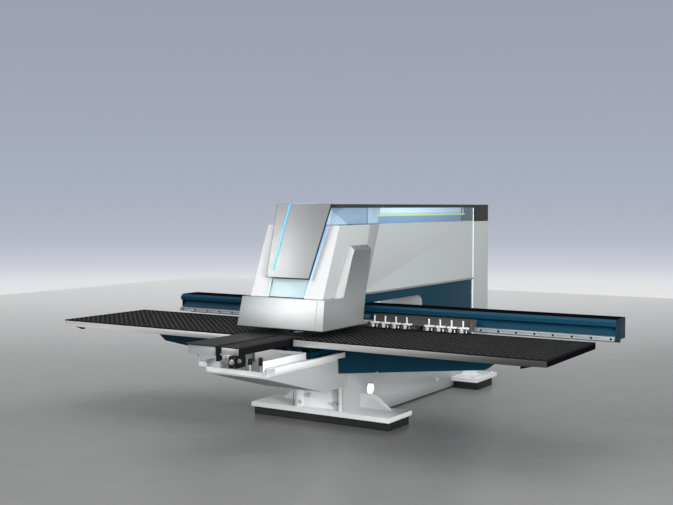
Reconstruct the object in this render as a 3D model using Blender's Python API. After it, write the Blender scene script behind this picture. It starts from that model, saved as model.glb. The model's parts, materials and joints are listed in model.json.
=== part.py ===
"""Single-head CNC punch press: C-frame, moving sheet tables, transverse rail and tool magazine.

Metres. X runs along the transverse rail, Y from the operator to the column, Z up.
The origin is the middle of the underside of the front floor pad.
Each moving group hangs from an empty that stands on its joint's axis.
"""

import math

import bmesh
import bpy
from mathutils import Vector

# Clearances and finish
GAP = 0.0003
OVERRUN = 0.02
ROUND_SIDES = 24
SMALL_SIDES = 10
SOFT_ANGLE = math.radians(35.0)
EDGE = 0.004

# Front foot
PAD_WIDTH = 1.604
PAD_DEPTH = 0.407
PAD_HEIGHT = 0.0923
FOOT_WIDTH = 1.634
FOOT_DEPTH = 0.471
FOOT_THICK = 0.033
FOOT_TOP = PAD_HEIGHT + GAP + FOOT_THICK
GUSSET_THICK = 0.02
GUSSET_HEIGHT = 0.146
GUSSET_TOP_REACH = 0.19
GUSSET_REACH = 0.36
GUSSET_Y = 0.11

# Rear feet
REAR_PAD_HEIGHT = 0.085
REAR_PAD_WIDTH = 0.288
REAR_PAD_FRONT = 2.257
REAR_PAD_BACK = 2.677
REAR_FOOT_WIDTH = 0.33
REAR_FOOT_THICK = 0.025
REAR_FOOT_FRONT = 2.237
REAR_FOOT_BACK = 2.82
REAR_BLOCK_WIDTH = 0.06
REAR_BLOCK_HEIGHT = 0.035
REAR_RIB_HEIGHT = 0.14

# C-frame
FRAME_HALF = 0.27
FRAME_FRONT = -0.203
FRAME_BACK = 2.827
FRAME_BOTTOM = 0.02
ARM_FRONT = -0.293
THROAT_TOP = 1.165
THROAT_FLOOR = 0.78
THROAT_BACK = 1.507
THROAT_ROUND = 0.1
LOWER_ARM_FRONT = -0.743
LOWER_ARM_TIP_BOTTOM = 0.62
LOWER_ARM_ROOT_BOTTOM = 0.46
ARC_STEPS = 6
FOOT_NOTCH_BACK = FOOT_DEPTH / 2 + OVERRUN
LUG_FRONT = -0.45
LUG_BACK = -0.36
LUG_BOTTOM = 0.60
LUG_TOP = 0.65
CHUTE_RADIUS = 0.05
FRONT_POCKET_HALF = 0.23
FRONT_POCKET_DEPTH = 0.07
FRONT_POCKET_TOP = 0.40
FRONT_POCKET_ROUND = 0.10
TRANSPORT_Y = 0.325
TRANSPORT_Z = 0.287
TRANSPORT_RADIUS = 0.075
TRANSPORT_WALL = 0.006

# Side covers
COVER_THICK = 0.0197
COVER_OUTER = FRAME_HALF + GAP + COVER_THICK
LOWER_COVER_TOP = 0.56
UPPER_COVER_BOTTOM = 1.28
UPPER_COVER_FRONT = 0.0
LEDGE_STAND = 0.012
LEDGE_HEIGHT = 0.02

# Rear cabinet and roof
CABINET_BACK = 3.287
ROOF_TOP = 2.175
ROOF_THICK = 0.035
ROOF_BOTTOM = ROOF_TOP - ROOF_THICK
GLAZING_HEIGHT = 0.168
SHELL_TOP = ROOF_BOTTOM - GLAZING_HEIGHT
CABINET_TOP = SHELL_TOP - 0.002
FRAME_TOP = SHELL_TOP - 0.017
ROOF_SPINE_HALF = 0.11
ROOF_SPINE_FRONT = 0.50
SEAM_WIDTH = 0.012
SEAM_DEPTH = 0.004
GLASS_THICK = 0.006
TUBE_RADIUS = 0.011
TUBE_X = 0.235
TUBE_Z = ROOF_BOTTOM - 0.08
TUBE_FRONT = 0.56
TUBE_BACK = 2.68
TUBE_CLIP = 0.02

# Head shell: plan sizes at its bottom and its top
SHELL_HALF = 0.415
SHELL_WALL = 0.03
SHELL_FRONT_LOW = -0.772
SHELL_FRONT_HIGH = -0.478
PILLAR_INNER_LOW = 0.207
PILLAR_INNER_HIGH = 0.266
PILLAR_DEPTH = 0.13
SHELL_TURN_LOW = -0.11
SHELL_TURN_HIGH = 0.097
SHELL_BACK_LOW = 0.219
SHELL_BACK_HIGH = 0.503
SHELL_LAND = 0.10

# Hood round the punching station
HOOD_REACH = 0.057
HOOD_HALF = SHELL_HALF + HOOD_REACH
HOOD_FLARE_share = 0.065
HOOD_BOTTOM = 1.012
HOOD_LEDGE = 1.29
HOOD_LEDGE_THICK = 0.015
HOOD_FRONT_LOW = -0.893
HOOD_FRONT_HIGH = -0.83
HOOD_WALL = 0.03
EAR_TOP_share = 0.713
EAR_TOP = HOOD_LEDGE + (SHELL_TOP - HOOD_LEDGE) * EAR_TOP_share
EAR_FRONT_LOW = -0.582
EAR_FRONT_HIGH = -0.294
EAR_BACK_HIGH = 0.030
EAR_BACK_MIDDLE = -0.05
EAR_MIDDLE = 1.42
HOOD_BACK_LOW = -0.172
EAR_SLOPE_LOW = 0.082
EAR_SLOPE_HIGH = 0.022
EAR_LAND = 0.004
EAR_TOP_DROP = 0.040

# Head front panel, light strip and glass
PANEL_TOP = ROOF_TOP + 0.005
PANEL_BOTTOM = 1.479
PANEL_FRONT_HIGH = -0.469
PANEL_FRONT_LOW = -0.752
PANEL_HALF_HIGH = 0.313
PANEL_HALF_LOW = 0.241
PANEL_THICK = 0.03
PANEL_RIB_X = 0.12
PANEL_RIB_WIDTH = 0.02
PANEL_RIB_LOW_share = 0.25
PANEL_RIB_HIGH_share = 0.85
PANEL_RIB_LOW = PANEL_BOTTOM + (SHELL_TOP - PANEL_BOTTOM) * PANEL_RIB_LOW_share
PANEL_RIB_HIGH = PANEL_BOTTOM + (SHELL_TOP - PANEL_BOTTOM) * PANEL_RIB_HIGH_share
STRIP_WIDTH = 0.014
STRIP_THICK = 0.003
STRIP_X_HIGH = -0.150
STRIP_X_LOW = -0.214
STRIP_BOTTOM = PANEL_BOTTOM + 0.081
HEAD_GLASS_HALF = 0.20
HEAD_GLASS_BOTTOM = 1.295
HEAD_GLASS_TOP = 1.462
HEAD_GLASS_SET = 0.012

# Punching head
PUNCH_Y = -0.563
HEAD_HALF = 0.185
HEAD_FRONT = -0.70
HEAD_BOTTOM = 1.17
HEAD_TOP = SHELL_TOP - 0.022
HEAD_FRONT_SET = 0.03
RAM_RADIUS = 0.045
RAM_BOTTOM = 1.10
RAM_TOP = 1.48
RAM_CLEARANCE = 0.0005
RAM_BORE_TOP = 1.535
HOLDER_RADIUS = 0.06
HOLDER_BOTTOM = 1.035
HOLDER_NECK = 0.045
PUNCH_RADIUS = 0.022
PUNCH_TIP_RADIUS = 0.015
PUNCH_BOTTOM = 0.988
PUNCH_TIP = 0.015
KEY_WIDTH = 0.016

# Die station
DIE_SEAT_RADIUS = 0.115
DIE_SEAT_TOP = 0.86
DIE_HOLDER_RADIUS = 0.085
DIE_HOLDER_TOP = 0.930
DIE_RADIUS = 0.05
DIE_TOP = 0.9492
DIE_BORE = 0.017
DIE_CHUTE = 0.035
GEAR_TEETH = 36
GEAR_TOOTH = 0.005
GEAR_BOTTOM = 0.875
GEAR_TOP = 0.895

# Sheet tables
TABLE_TOP = 0.95
TABLE_FRONT = -1.043
TABLE_BACK = 0.175
TABLE_OUTER = 2.68
TABLE_INNER_RIGHT = 0.268
TABLE_INNER_LEFT = 0.385
BRUSH_THICK = 0.0117
TABLE_BOTTOM = 0.882
TABLE_TAPER = 0.28
TABLE_TIP_BOTTOM = 0.912
TABLE_WALL = 0.02
TABLE_SKIN = 0.006
TABLE_BAYS = 5
STOP_X = TABLE_OUTER - 0.25
STOP_LENGTH = 0.10
STOP_DEPTH = 0.05
STOP_HEIGHT = 0.024

# Cross beams
BEAM_FRONT = -0.383
BEAM_DEPTH = 0.08
BEAM_ROOT = 0.342
BEAM_NOTCH = 0.431
BEAM_ROOT_BOTTOM = 0.543
BEAM_NOTCH_TOP = 0.70
BEAM_END = 1.95
BEAM_END_BOTTOM = 0.775
BEAM_TIP = 1.86
BEAM_TIP_BOTTOM = 0.708
BEAM_TOP = TABLE_BOTTOM - GAP
SIDE_PLATE_THICK = 0.038
SIDE_PLATE_BACK = 0.607
SIDE_PLATE_BOTTOM = 0.555

# Y guides on the frame's sides
Y_RAIL_FRONT = -0.17
Y_RAIL_BACK = 1.62
Y_RAIL_DEPTH = 0.034
Y_RAIL_HEIGHT = 0.04
Y_RAIL_Z = 0.62
Y_RAIL_GROOVE = 0.006
Y_BLOCK_LENGTH = 0.12
Y_BLOCK_HEIGHT = 0.09
Y_BLOCK_FRONT = 0.057
Y_BLOCK_INNER = 0.284
GUIDE_CLEARANCE = 0.0008

# Carrier beam through the throat
CARRIER_HALF = 1.15
CARRIER_FRONT = 0.207
CARRIER_BACK = 0.557
CARRIER_BOTTOM = 0.80
CARRIER_TOP = 0.92
CARRIER_WALL = 0.012

# Transverse rail
RAIL_LEFT = -2.165
RAIL_RIGHT = 2.843
RAIL_BOTTOM = 0.965
RAIL_TOP = 1.155
RAIL_FRONT = 0.247
RAIL_STEP_Z = 1.003
RAIL_RECESS = 0.288
RAIL_RECESS_Z = 1.072
RAIL_NOSE = 0.227
RAIL_NOSE_LOW = 1.091
RAIL_NOSE_HIGH = 1.13
RAIL_BROW = 0.268
RAIL_BACK = 0.517
CAP_THICK = 0.012
STRIP_FRONT = 0.197
STRIP_TOP = 1.005
BOLT_PITCH = 0.177
BOLT_FIRST = -2.11
BOLT_Z = 0.984
BOLT_RADIUS = 0.007
BOLT_DEPTH = 0.006

# X guide under the rail
X_RAIL_WIDTH = 0.036
X_RAIL_BOTTOM = 0.934
X_RAIL_Y = 0.40
X_BLOCK_LENGTH = 0.12
X_BLOCK_WIDTH = 0.09
X_BLOCK_TOP = 0.957
X_BLOCK_OUTER = 1.02
X_BLOCK_INNER = 0.36

# Tool magazine
MAGAZINE_LEFT = 0.362
MAGAZINE_RIGHT = 1.495
MAGAZINE_FRONT = 0.157
MAGAZINE_TOP = 1.000
MAGAZINE_LINING = 0.012
STATION_FIRST = 0.448
STATION_PITCH = 0.1205
STATIONS_PER_GROUP = 4
GROUP_PITCH = 0.604
CASSETTE_FRONT = 0.058
CASSETTE_WIDTH = 0.050
CASSETTE_BOTTOM = 0.9585
CASSETTE_TOP = 0.985
TOOL_RADIUS = 0.024
TOOL_BOTTOM = 0.959
TOOL_TOP = 0.999
ARM_LENGTH = 0.092
ARM_WIDTH = 0.020
ARM_BOTTOM = 0.9985
ARM_TOP = 1.0095
PIN_RADIUS = 0.005
PIN_TOP = 1.069
PIN_Y = 0.128
SECOND_PIN_SHIFT = 0.048
BRACKET_THICK = 0.02
BRACKET_TOP = 1.062

# Clamps
CLAMP_X = (-0.65, 0.932)
CLAMP_BACK = (STRIP_FRONT, MAGAZINE_FRONT)
CLAMP_LENGTH = 0.125
CLAMP_HALF = 0.042
CLAMP_BOTTOM = 0.958
CLAMP_LIP = 0.006
CLAMP_TOP = 0.992
CLAMP_MOUTH = 0.07
JAW_GAP = 0.004
JAW_PIN_RADIUS = 0.004
JAW_TOP = 0.988
CLAMP_SIDE = 0.010

# Front housing and parts tray
HOUSING_HALF = 0.335
HOUSING_WALL = 0.008
HOUSING_FRONT = -1.543
HOUSING_FRONT_BOTTOM = 0.655
HOUSING_LOW = 0.395
HOUSING_LOW_FRONT = -0.62
HOUSING_BACK = -0.243
HOUSING_ROUND = 0.35
TRAY_HALF = 0.425
TRAY_MAIN_HALF = BEAM_ROOT - 0.004
TRAY_FRONT = -1.543
TRAY_BACK = BEAM_FRONT - 0.005
TRAY_BOTTOM = 0.67
TRAY_CHANNEL = 0.71
TRAY_MAIN_TOP = 0.745
TRAY_TOP = 0.76
TRAY_WALL = 0.008
TRAY_LIP_SET = 0.001
TRAY_ARM_CLEARANCE = 0.006
TRAY_BLOCK_X = 0.30
TRAY_BLOCK_Y = -0.62
TRAY_BLOCK_SIZE = 0.04
TRAY_BLOCK_HEIGHT = 0.05

# Middle table: flap, brush beam and die table
FLAP_LEFT = -0.38
FLAP_RIGHT = -0.034
FLAP_FRONT = -1.783
FLAP_BACK = -0.923
FLAP_SHEET = 0.010
FLAP_FRAME_LEFT = -0.362
FLAP_FRAME_RIGHT = -0.052
FLAP_FRAME_FRONT = -1.763
FLAP_FRAME_BOTTOM = 0.885
FLAP_APRON_BOTTOM = 0.862
FLAP_FRAME_WALL = 0.015
HINGE_Y = -0.925
HINGE_Z = 0.918
HINGE_RADIUS = 0.006
HINGE_CLEARANCE = 0.0004
HINGE_BAR = 0.011
LUG_THICK = 0.010
LUG_REACH = 0.012
BRUSH_LEFT = 0.03
BRUSH_RIGHT = 0.216
FLAP_PLAY = 0.002
DIE_TABLE_FRONT = HINGE_Y + HINGE_BAR + FLAP_PLAY
BRUSH_BACK = DIE_TABLE_FRONT - GAP
BRUSH_BOTTOM = 0.88
GUIDE_LEFT = -0.031
GUIDE_BOTTOM = 0.930
GUIDE_TOP = 0.946
GUIDE_PLATE_RIGHT = 0.0095
GUIDE_PLATE_BOTTOM = 0.816
GUIDE_PLATE_THICK = 0.010
SUPPORT_LEFT = 0.01
SUPPORT_RIGHT = 0.14
SUPPORT_BOTTOM = 0.82
SUPPORT_LENGTH = 0.30
SUPPORT_LEG = 0.045
SUPPORT_LEG_Y = -1.50
KNOB_X = 0.062
KNOB_Z = 0.850
KNOB_RADIUS = 0.017
KNOB_LENGTH = 0.012
JUNCTION_LEFT = 0.144
JUNCTION_WIDTH = 0.061
JUNCTION_FRONT = -1.823
JUNCTION_DEPTH = 0.13
JUNCTION_BOTTOM = 0.778
GLAND_RADIUS = 0.014
GLAND_LENGTH = 0.012
BUFFER_RADIUS = 0.02
BUFFER_BOTTOM = 0.75
BUFFER_TOP = 0.82
BUFFER_CAP = 0.006
BUFFER_STEM = 0.008
BUFFER_SPOTS = ((0.080, -1.443), (0.197, -1.443), (0.080, -0.853), (0.197, -0.853))
DIE_TABLE_BACK = -0.095
DIE_TABLE_LEFT = -0.380
DIE_TABLE_RIGHT = 0.262
DIE_TABLE_THICK = 0.012
DIE_TABLE_BOTTOM = TABLE_TOP - DIE_TABLE_THICK
DIE_TABLE_LEG_X = 0.20
DIE_TABLE_LEG = 0.03
DIE_TABLE_LEG_SPOTS = (-0.70, -0.20)

# Joint places
RAM_SEAT = Vector((0.0, PUNCH_Y, RAM_BOTTOM))
DIE_SEAT = Vector((0.0, PUNCH_Y, DIE_SEAT_TOP))
FLAP_SEAT = Vector((FLAP_RIGHT, HINGE_Y, HINGE_Z))
Y_SEAT = Vector((0.0, CARRIER_FRONT, CARRIER_BOTTOM))
X_SEAT = Vector(((RAIL_LEFT + RAIL_RIGHT) / 2, RAIL_FRONT, RAIL_BOTTOM))
JAW_PIN_Z = (CLAMP_BOTTOM + CLAMP_TOP) / 2 + JAW_GAP

SIDES = {"left": -1, "right": 1}


def clear_scene():
    """Empties the scene."""
    for item in list(bpy.data.objects):
        bpy.data.objects.remove(item)


def make_finish(name, colour, roughness, metallic=0.0, alpha=1.0):
    """Returns a Principled material."""
    finish = bpy.data.materials.new(name)
    finish.use_nodes = True
    shader = finish.node_tree.nodes["Principled BSDF"]
    shader.inputs["Base Color"].default_value = (*colour, 1.0)
    shader.inputs["Roughness"].default_value = roughness
    shader.inputs["Metallic"].default_value = metallic
    shader.inputs["Alpha"].default_value = alpha
    return finish


def add_seat(name, place, carrier=None):
    """Adds an empty on a joint's axis, for the pieces that move with it."""
    seat = bpy.data.objects.new(name, None)
    bpy.context.scene.collection.objects.link(seat)
    start = Vector((0.0, 0.0, 0.0))
    if carrier is not None:
        seat.parent = carrier
        start = world_place(carrier)
    seat.location = place - start
    return seat


def world_place(item):
    """Returns an unturned object's place in the world."""
    place = item.location.copy()
    if item.parent is not None:
        place += world_place(item.parent)
    return place


def add_part(name, mesh, finish, carrier=None, smooth=False, seat=None):
    """Turns a bmesh in world places into a named object that stands at its seat."""
    bmesh.ops.recalc_face_normals(mesh, faces=mesh.faces)
    if seat is None:
        seat = world_place(carrier) if carrier is not None else Vector((0.0, 0.0, 0.0))
    bmesh.ops.translate(mesh, vec=-seat, verts=mesh.verts)
    data = bpy.data.meshes.new(name)
    mesh.to_mesh(data)
    mesh.free()
    if smooth:
        data.shade_smooth()
        data.set_sharp_from_angle(angle=SOFT_ANGLE)
    if finish is not None:
        data.materials.append(finish)
    part = bpy.data.objects.new(name, data)
    bpy.context.scene.collection.objects.link(part)
    start = Vector((0.0, 0.0, 0.0))
    if carrier is not None:
        part.parent = carrier
        start = world_place(carrier)
    part.location = seat - start
    return part


def carve(part, mesh, operation="DIFFERENCE"):
    """Cuts a bmesh in world places out of a part, or joins it on."""
    tool = add_part(part.name + "_tool", mesh, None)
    tool.hide_render = True
    tool.display_type = "WIRE"
    step = part.modifiers.new("carve", "BOOLEAN")
    step.operation = operation
    step.solver = "EXACT"
    step.object = tool
    return tool


def soften(part, width, segments=2):
    """Rounds a part's sharp edges."""
    step = part.modifiers.new("soften", "BEVEL")
    step.width = width
    step.segments = segments
    step.limit_method = "ANGLE"
    step.angle_limit = SOFT_ANGLE
    return step


def box(low, high, mesh=None):
    """Adds a box between two corners to a bmesh."""
    mesh = mesh or bmesh.new()
    low = Vector(low)
    high = Vector(high)
    made = bmesh.ops.create_cube(mesh, size=1.0)["verts"]
    bmesh.ops.scale(mesh, vec=high - low, verts=made)
    bmesh.ops.translate(mesh, vec=(low + high) / 2, verts=made)
    return mesh


def side_box(side, low, high, mesh=None):
    """Adds a box given for the right side, mirrored when side is -1."""
    xs = sorted((side * low[0], side * high[0]))
    return box((xs[0], low[1], low[2]), (xs[1], high[1], high[2]), mesh)


def loft(rings, mesh=None):
    """Adds a closed body through rings of points, capped at both ends."""
    mesh = mesh or bmesh.new()
    loops = [[mesh.verts.new(point) for point in ring] for ring in rings]
    for first, second in zip(loops, loops[1:]):
        count = len(first)
        for index in range(count):
            after = (index + 1) % count
            mesh.faces.new((first[index], first[after], second[after], second[index]))
    mesh.faces.new(list(reversed(loops[0])))
    mesh.faces.new(loops[-1])
    return mesh


def prism_x(outline, start, end, mesh=None):
    """Extrudes a (y, z) outline along X."""
    return loft([[(start, y, z) for y, z in outline], [(end, y, z) for y, z in outline]], mesh)


def prism_y(outline, start, end, mesh=None):
    """Extrudes an (x, z) outline along Y."""
    return loft([[(x, start, z) for x, z in outline], [(x, end, z) for x, z in outline]], mesh)


def prism_z(outline, start, end, mesh=None):
    """Extrudes an (x, y) outline along Z."""
    return loft([[(x, y, start) for x, y in outline], [(x, y, end) for x, y in outline]], mesh)


def arc(centre, radius, start, end, steps=ARC_STEPS):
    """Returns points on an arc between two angles in degrees."""
    points = []
    for index in range(steps + 1):
        angle = math.radians(start + (end - start) * index / steps)
        points.append((centre[0] + radius * math.cos(angle), centre[1] + radius * math.sin(angle)))
    return points


def circle(centre, radius, sides):
    """Returns the points of a full circle."""
    return arc(centre, radius, 0, 360, sides)[:-1]


def rod_x(centre, radius, start, end, sides=ROUND_SIDES, mesh=None):
    """Adds a cylinder along X; centre is (y, z)."""
    return prism_x(circle(centre, radius, sides), start, end, mesh)


def rod_y(centre, radius, start, end, sides=ROUND_SIDES, mesh=None):
    """Adds a cylinder along Y; centre is (x, z)."""
    return prism_y(circle(centre, radius, sides), start, end, mesh)


def rod_z(centre, radius, start, end, sides=ROUND_SIDES, mesh=None):
    """Adds a cylinder along Z; centre is (x, y)."""
    return prism_z(circle(centre, radius, sides), start, end, mesh)


def turned(centre, profile, sides=ROUND_SIDES, mesh=None):
    """Adds a body turned about a vertical axis from a closed (radius, z) profile."""
    mesh = mesh or bmesh.new()
    rings = []
    for index in range(sides):
        angle = 2 * math.pi * index / sides
        spoke = (math.cos(angle), math.sin(angle))
        rings.append([mesh.verts.new((centre[0] + r * spoke[0], centre[1] + r * spoke[1], z)) for r, z in profile])
    count = len(profile)
    for index in range(sides):
        here = rings[index]
        there = rings[(index + 1) % sides]
        for step in range(count):
            after = (step + 1) % count
            mesh.faces.new((here[step], there[step], there[after], here[after]))
    return mesh


def mirrored(outline):
    """Closes a right-hand outline with its mirror image across x = 0."""
    return list(outline) + [(-x, z) for x, z in reversed(outline)]


def lean(z, low_z, high_z, low_y, high_y):
    """Returns the y of a leaning straight face at height z."""
    return low_y + (high_y - low_y) * (z - low_z) / (high_z - low_z)


def shell_front(z):
    """Returns the y of the pillars' leaning front face."""
    return lean(z, HOOD_LEDGE, SHELL_TOP, SHELL_FRONT_LOW, SHELL_FRONT_HIGH)


def panel_front(z):
    """Returns the y of the front panel's leaning outer face."""
    return lean(z, PANEL_BOTTOM, PANEL_TOP, PANEL_FRONT_LOW, PANEL_FRONT_HIGH)


def head_front(z):
    """Returns the y of the punching head's front face."""
    return max(HEAD_FRONT, shell_front(z) + HEAD_FRONT_SET)


def panel_half(z):
    """Returns the front panel's half width at height z."""
    return lean(z, PANEL_BOTTOM, PANEL_TOP, PANEL_HALF_LOW, PANEL_HALF_HIGH)


def build_feet(finish):
    """Builds the floor pads, the foot plates and the gussets."""
    pad = box((-PAD_WIDTH / 2, -PAD_DEPTH / 2, 0), (PAD_WIDTH / 2, PAD_DEPTH / 2, PAD_HEIGHT))
    soften(add_part("front_foot_pad", pad, finish["rubber"]), EDGE, 1)
    low = (-FOOT_WIDTH / 2, -FOOT_DEPTH / 2, PAD_HEIGHT + GAP)
    plate = box(low, (FOOT_WIDTH / 2, FOOT_DEPTH / 2, FOOT_TOP))
    plate = add_part("front_foot_plate", plate, finish["white"])
    for side in SIDES.values():
        root = COVER_OUTER + GAP
        bottom = FOOT_TOP - EDGE
        outline = [
            (side * root, bottom),
            (side * (root + GUSSET_REACH), bottom),
            (side * (root + GUSSET_REACH), FOOT_TOP + GUSSET_THICK / 2),
            (side * (root + GUSSET_TOP_REACH), FOOT_TOP + GUSSET_HEIGHT),
            (side * root, FOOT_TOP + GUSSET_HEIGHT),
        ]
        carve(plate, prism_y(outline, GUSSET_Y, GUSSET_Y + GUSSET_THICK), "UNION")
    for label, side in SIDES.items():
        root = COVER_OUTER + GAP
        bottom = REAR_PAD_HEIGHT + GAP
        top = bottom + REAR_FOOT_THICK
        outer = root + REAR_FOOT_WIDTH
        low = (outer - REAR_PAD_WIDTH, REAR_PAD_FRONT, 0)
        pad = side_box(side, low, (outer, REAR_PAD_BACK, REAR_PAD_HEIGHT))
        soften(add_part("rear_foot_pad_" + label, pad, finish["rubber"]), EDGE, 1)
        foot = side_box(side, (root, REAR_FOOT_FRONT, bottom), (outer, REAR_FOOT_BACK, top))
        part = add_part("rear_foot_" + label, foot, finish["white"])
        middle = root + REAR_FOOT_WIDTH / 2
        half = REAR_BLOCK_WIDTH / 2
        low = (middle - half, REAR_FOOT_FRONT + half, bottom + REAR_FOOT_THICK / 2)
        high = (middle + half, REAR_FOOT_FRONT + half + REAR_BLOCK_WIDTH, top + REAR_BLOCK_HEIGHT)
        carve(part, side_box(side, low, high), "UNION")
        rib = [(root, top - REAR_FOOT_THICK / 2), (outer - REAR_BLOCK_WIDTH, top - REAR_FOOT_THICK / 2),
               (root, top + REAR_RIB_HEIGHT)]
        rib = [(side * x, z) for x, z in rib]
        start = (REAR_FOOT_FRONT + REAR_FOOT_BACK) / 2
        carve(part, prism_y(rib, start, start + GUSSET_THICK), "UNION")


def frame_outline():
    """Returns the (y, z) outline of the C-frame, throat corners rounded."""
    low_back = (THROAT_BACK - THROAT_ROUND, THROAT_FLOOR + THROAT_ROUND)
    high_back = (THROAT_BACK - THROAT_ROUND, THROAT_TOP - THROAT_ROUND)
    outline = [
        (FRAME_FRONT, FOOT_TOP + GAP),
        (FOOT_NOTCH_BACK, FOOT_TOP + GAP),
        (FOOT_NOTCH_BACK, FRAME_BOTTOM),
        (FRAME_BACK, FRAME_BOTTOM),
        (FRAME_BACK, FRAME_TOP),
        (ARM_FRONT, FRAME_TOP),
        (ARM_FRONT, THROAT_TOP),
    ]
    outline += arc(high_back, THROAT_ROUND, 90, 0)
    outline += arc(low_back, THROAT_ROUND, 0, -90)
    outline += [
        (LOWER_ARM_FRONT, THROAT_FLOOR),
        (LOWER_ARM_FRONT, LOWER_ARM_TIP_BOTTOM),
        (FRAME_FRONT, LOWER_ARM_ROOT_BOTTOM),
    ]
    return outline


def y_rail_section():
    """Returns the right-hand Y rail's (x, z) section, sunk a little into the frame's side."""
    inner = FRAME_HALF - EDGE
    outer = FRAME_HALF + Y_RAIL_DEPTH
    waist = FRAME_HALF + Y_RAIL_DEPTH / 2
    half = Y_RAIL_HEIGHT / 2
    return [
        (inner, Y_RAIL_Z - half), (FRAME_HALF + Y_RAIL_DEPTH / 3, Y_RAIL_Z - half),
        (waist, Y_RAIL_Z - half + Y_RAIL_GROOVE), (outer, Y_RAIL_Z - half), (outer, Y_RAIL_Z + half),
        (waist, Y_RAIL_Z + half - Y_RAIL_GROOVE), (FRAME_HALF + Y_RAIL_DEPTH / 3, Y_RAIL_Z + half),
        (inner, Y_RAIL_Z + half),
    ]


def build_frame(finish):
    """Builds the welded C-frame with its chute, transport tube, front pocket and Y rails."""
    frame = add_part("machine_frame", prism_x(frame_outline(), -FRAME_HALF, FRAME_HALF), finish["blue"])
    reach = HOUSING_HALF - HOUSING_WALL - GAP
    carve(frame, box((-reach, LUG_FRONT, LUG_BOTTOM), (reach, LUG_BACK, LUG_TOP)), "UNION")
    carve(frame, rod_z((0, PUNCH_Y), DIE_SEAT_RADIUS, THROAT_FLOOR - EDGE, DIE_SEAT_TOP), "UNION")
    carve(frame, rod_z((0, PUNCH_Y), CHUTE_RADIUS, LOWER_ARM_ROOT_BOTTOM, DIE_SEAT_TOP + OVERRUN))
    centre = (TRANSPORT_Y, TRANSPORT_Z)
    carve(frame, rod_x(centre, TRANSPORT_RADIUS, -COVER_OUTER, COVER_OUTER), "UNION")
    bore = TRANSPORT_RADIUS - TRANSPORT_WALL
    carve(frame, rod_x(centre, bore, -COVER_OUTER - OVERRUN, COVER_OUTER + OVERRUN))
    inner = FRONT_POCKET_HALF - FRONT_POCKET_ROUND
    outline = [(-FRONT_POCKET_HALF, 0), (FRONT_POCKET_HALF, 0)]
    outline += arc((inner, FRONT_POCKET_TOP - FRONT_POCKET_ROUND), FRONT_POCKET_ROUND, 0, 90)
    outline += arc((-inner, FRONT_POCKET_TOP - FRONT_POCKET_ROUND), FRONT_POCKET_ROUND, 90, 180)
    carve(frame, prism_y(outline, FRAME_FRONT - OVERRUN, FRAME_FRONT + FRONT_POCKET_DEPTH))
    for side in SIDES.values():
        section = [(side * x, z) for x, z in y_rail_section()]
        carve(frame, prism_y(section, Y_RAIL_FRONT, Y_RAIL_BACK), "UNION")


def build_covers(finish):
    """Builds the side covers of the column and the upper arm."""
    inner = FRAME_HALF + GAP
    for label, side in SIDES.items():
        outline = [
            (FRAME_FRONT, FOOT_TOP + GAP),
            (FOOT_NOTCH_BACK, FOOT_TOP + GAP),
            (FOOT_NOTCH_BACK, FRAME_BOTTOM),
            (FRAME_BACK, FRAME_BOTTOM),
            (FRAME_BACK, LOWER_COVER_TOP),
            (FRAME_FRONT, LOWER_COVER_TOP),
        ]
        cover = add_part("lower_side_panel_" + label, prism_x(outline, side * inner, side * COVER_OUTER),
                         finish["grey"])
        hole = rod_x((TRANSPORT_Y, TRANSPORT_Z), TRANSPORT_RADIUS + GAP, side * (inner - OVERRUN),
                     side * (COVER_OUTER + OVERRUN))
        carve(cover, hole)
        top = SHELL_TOP - GAP
        low = (inner, UPPER_COVER_FRONT, UPPER_COVER_BOTTOM)
        panel = side_box(side, low, (COVER_OUTER, FRAME_BACK, top))
        part = add_part("upper_side_panel_" + label, panel, finish["grey"])
        low = (COVER_OUTER - COVER_THICK / 2, SHELL_BACK_LOW + GAP * 4, UPPER_COVER_BOTTOM - LEDGE_HEIGHT)
        high = (COVER_OUTER + LEDGE_STAND, FRAME_BACK, UPPER_COVER_BOTTOM + GAP * 4)
        carve(part, side_box(side, low, high), "UNION")


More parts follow.
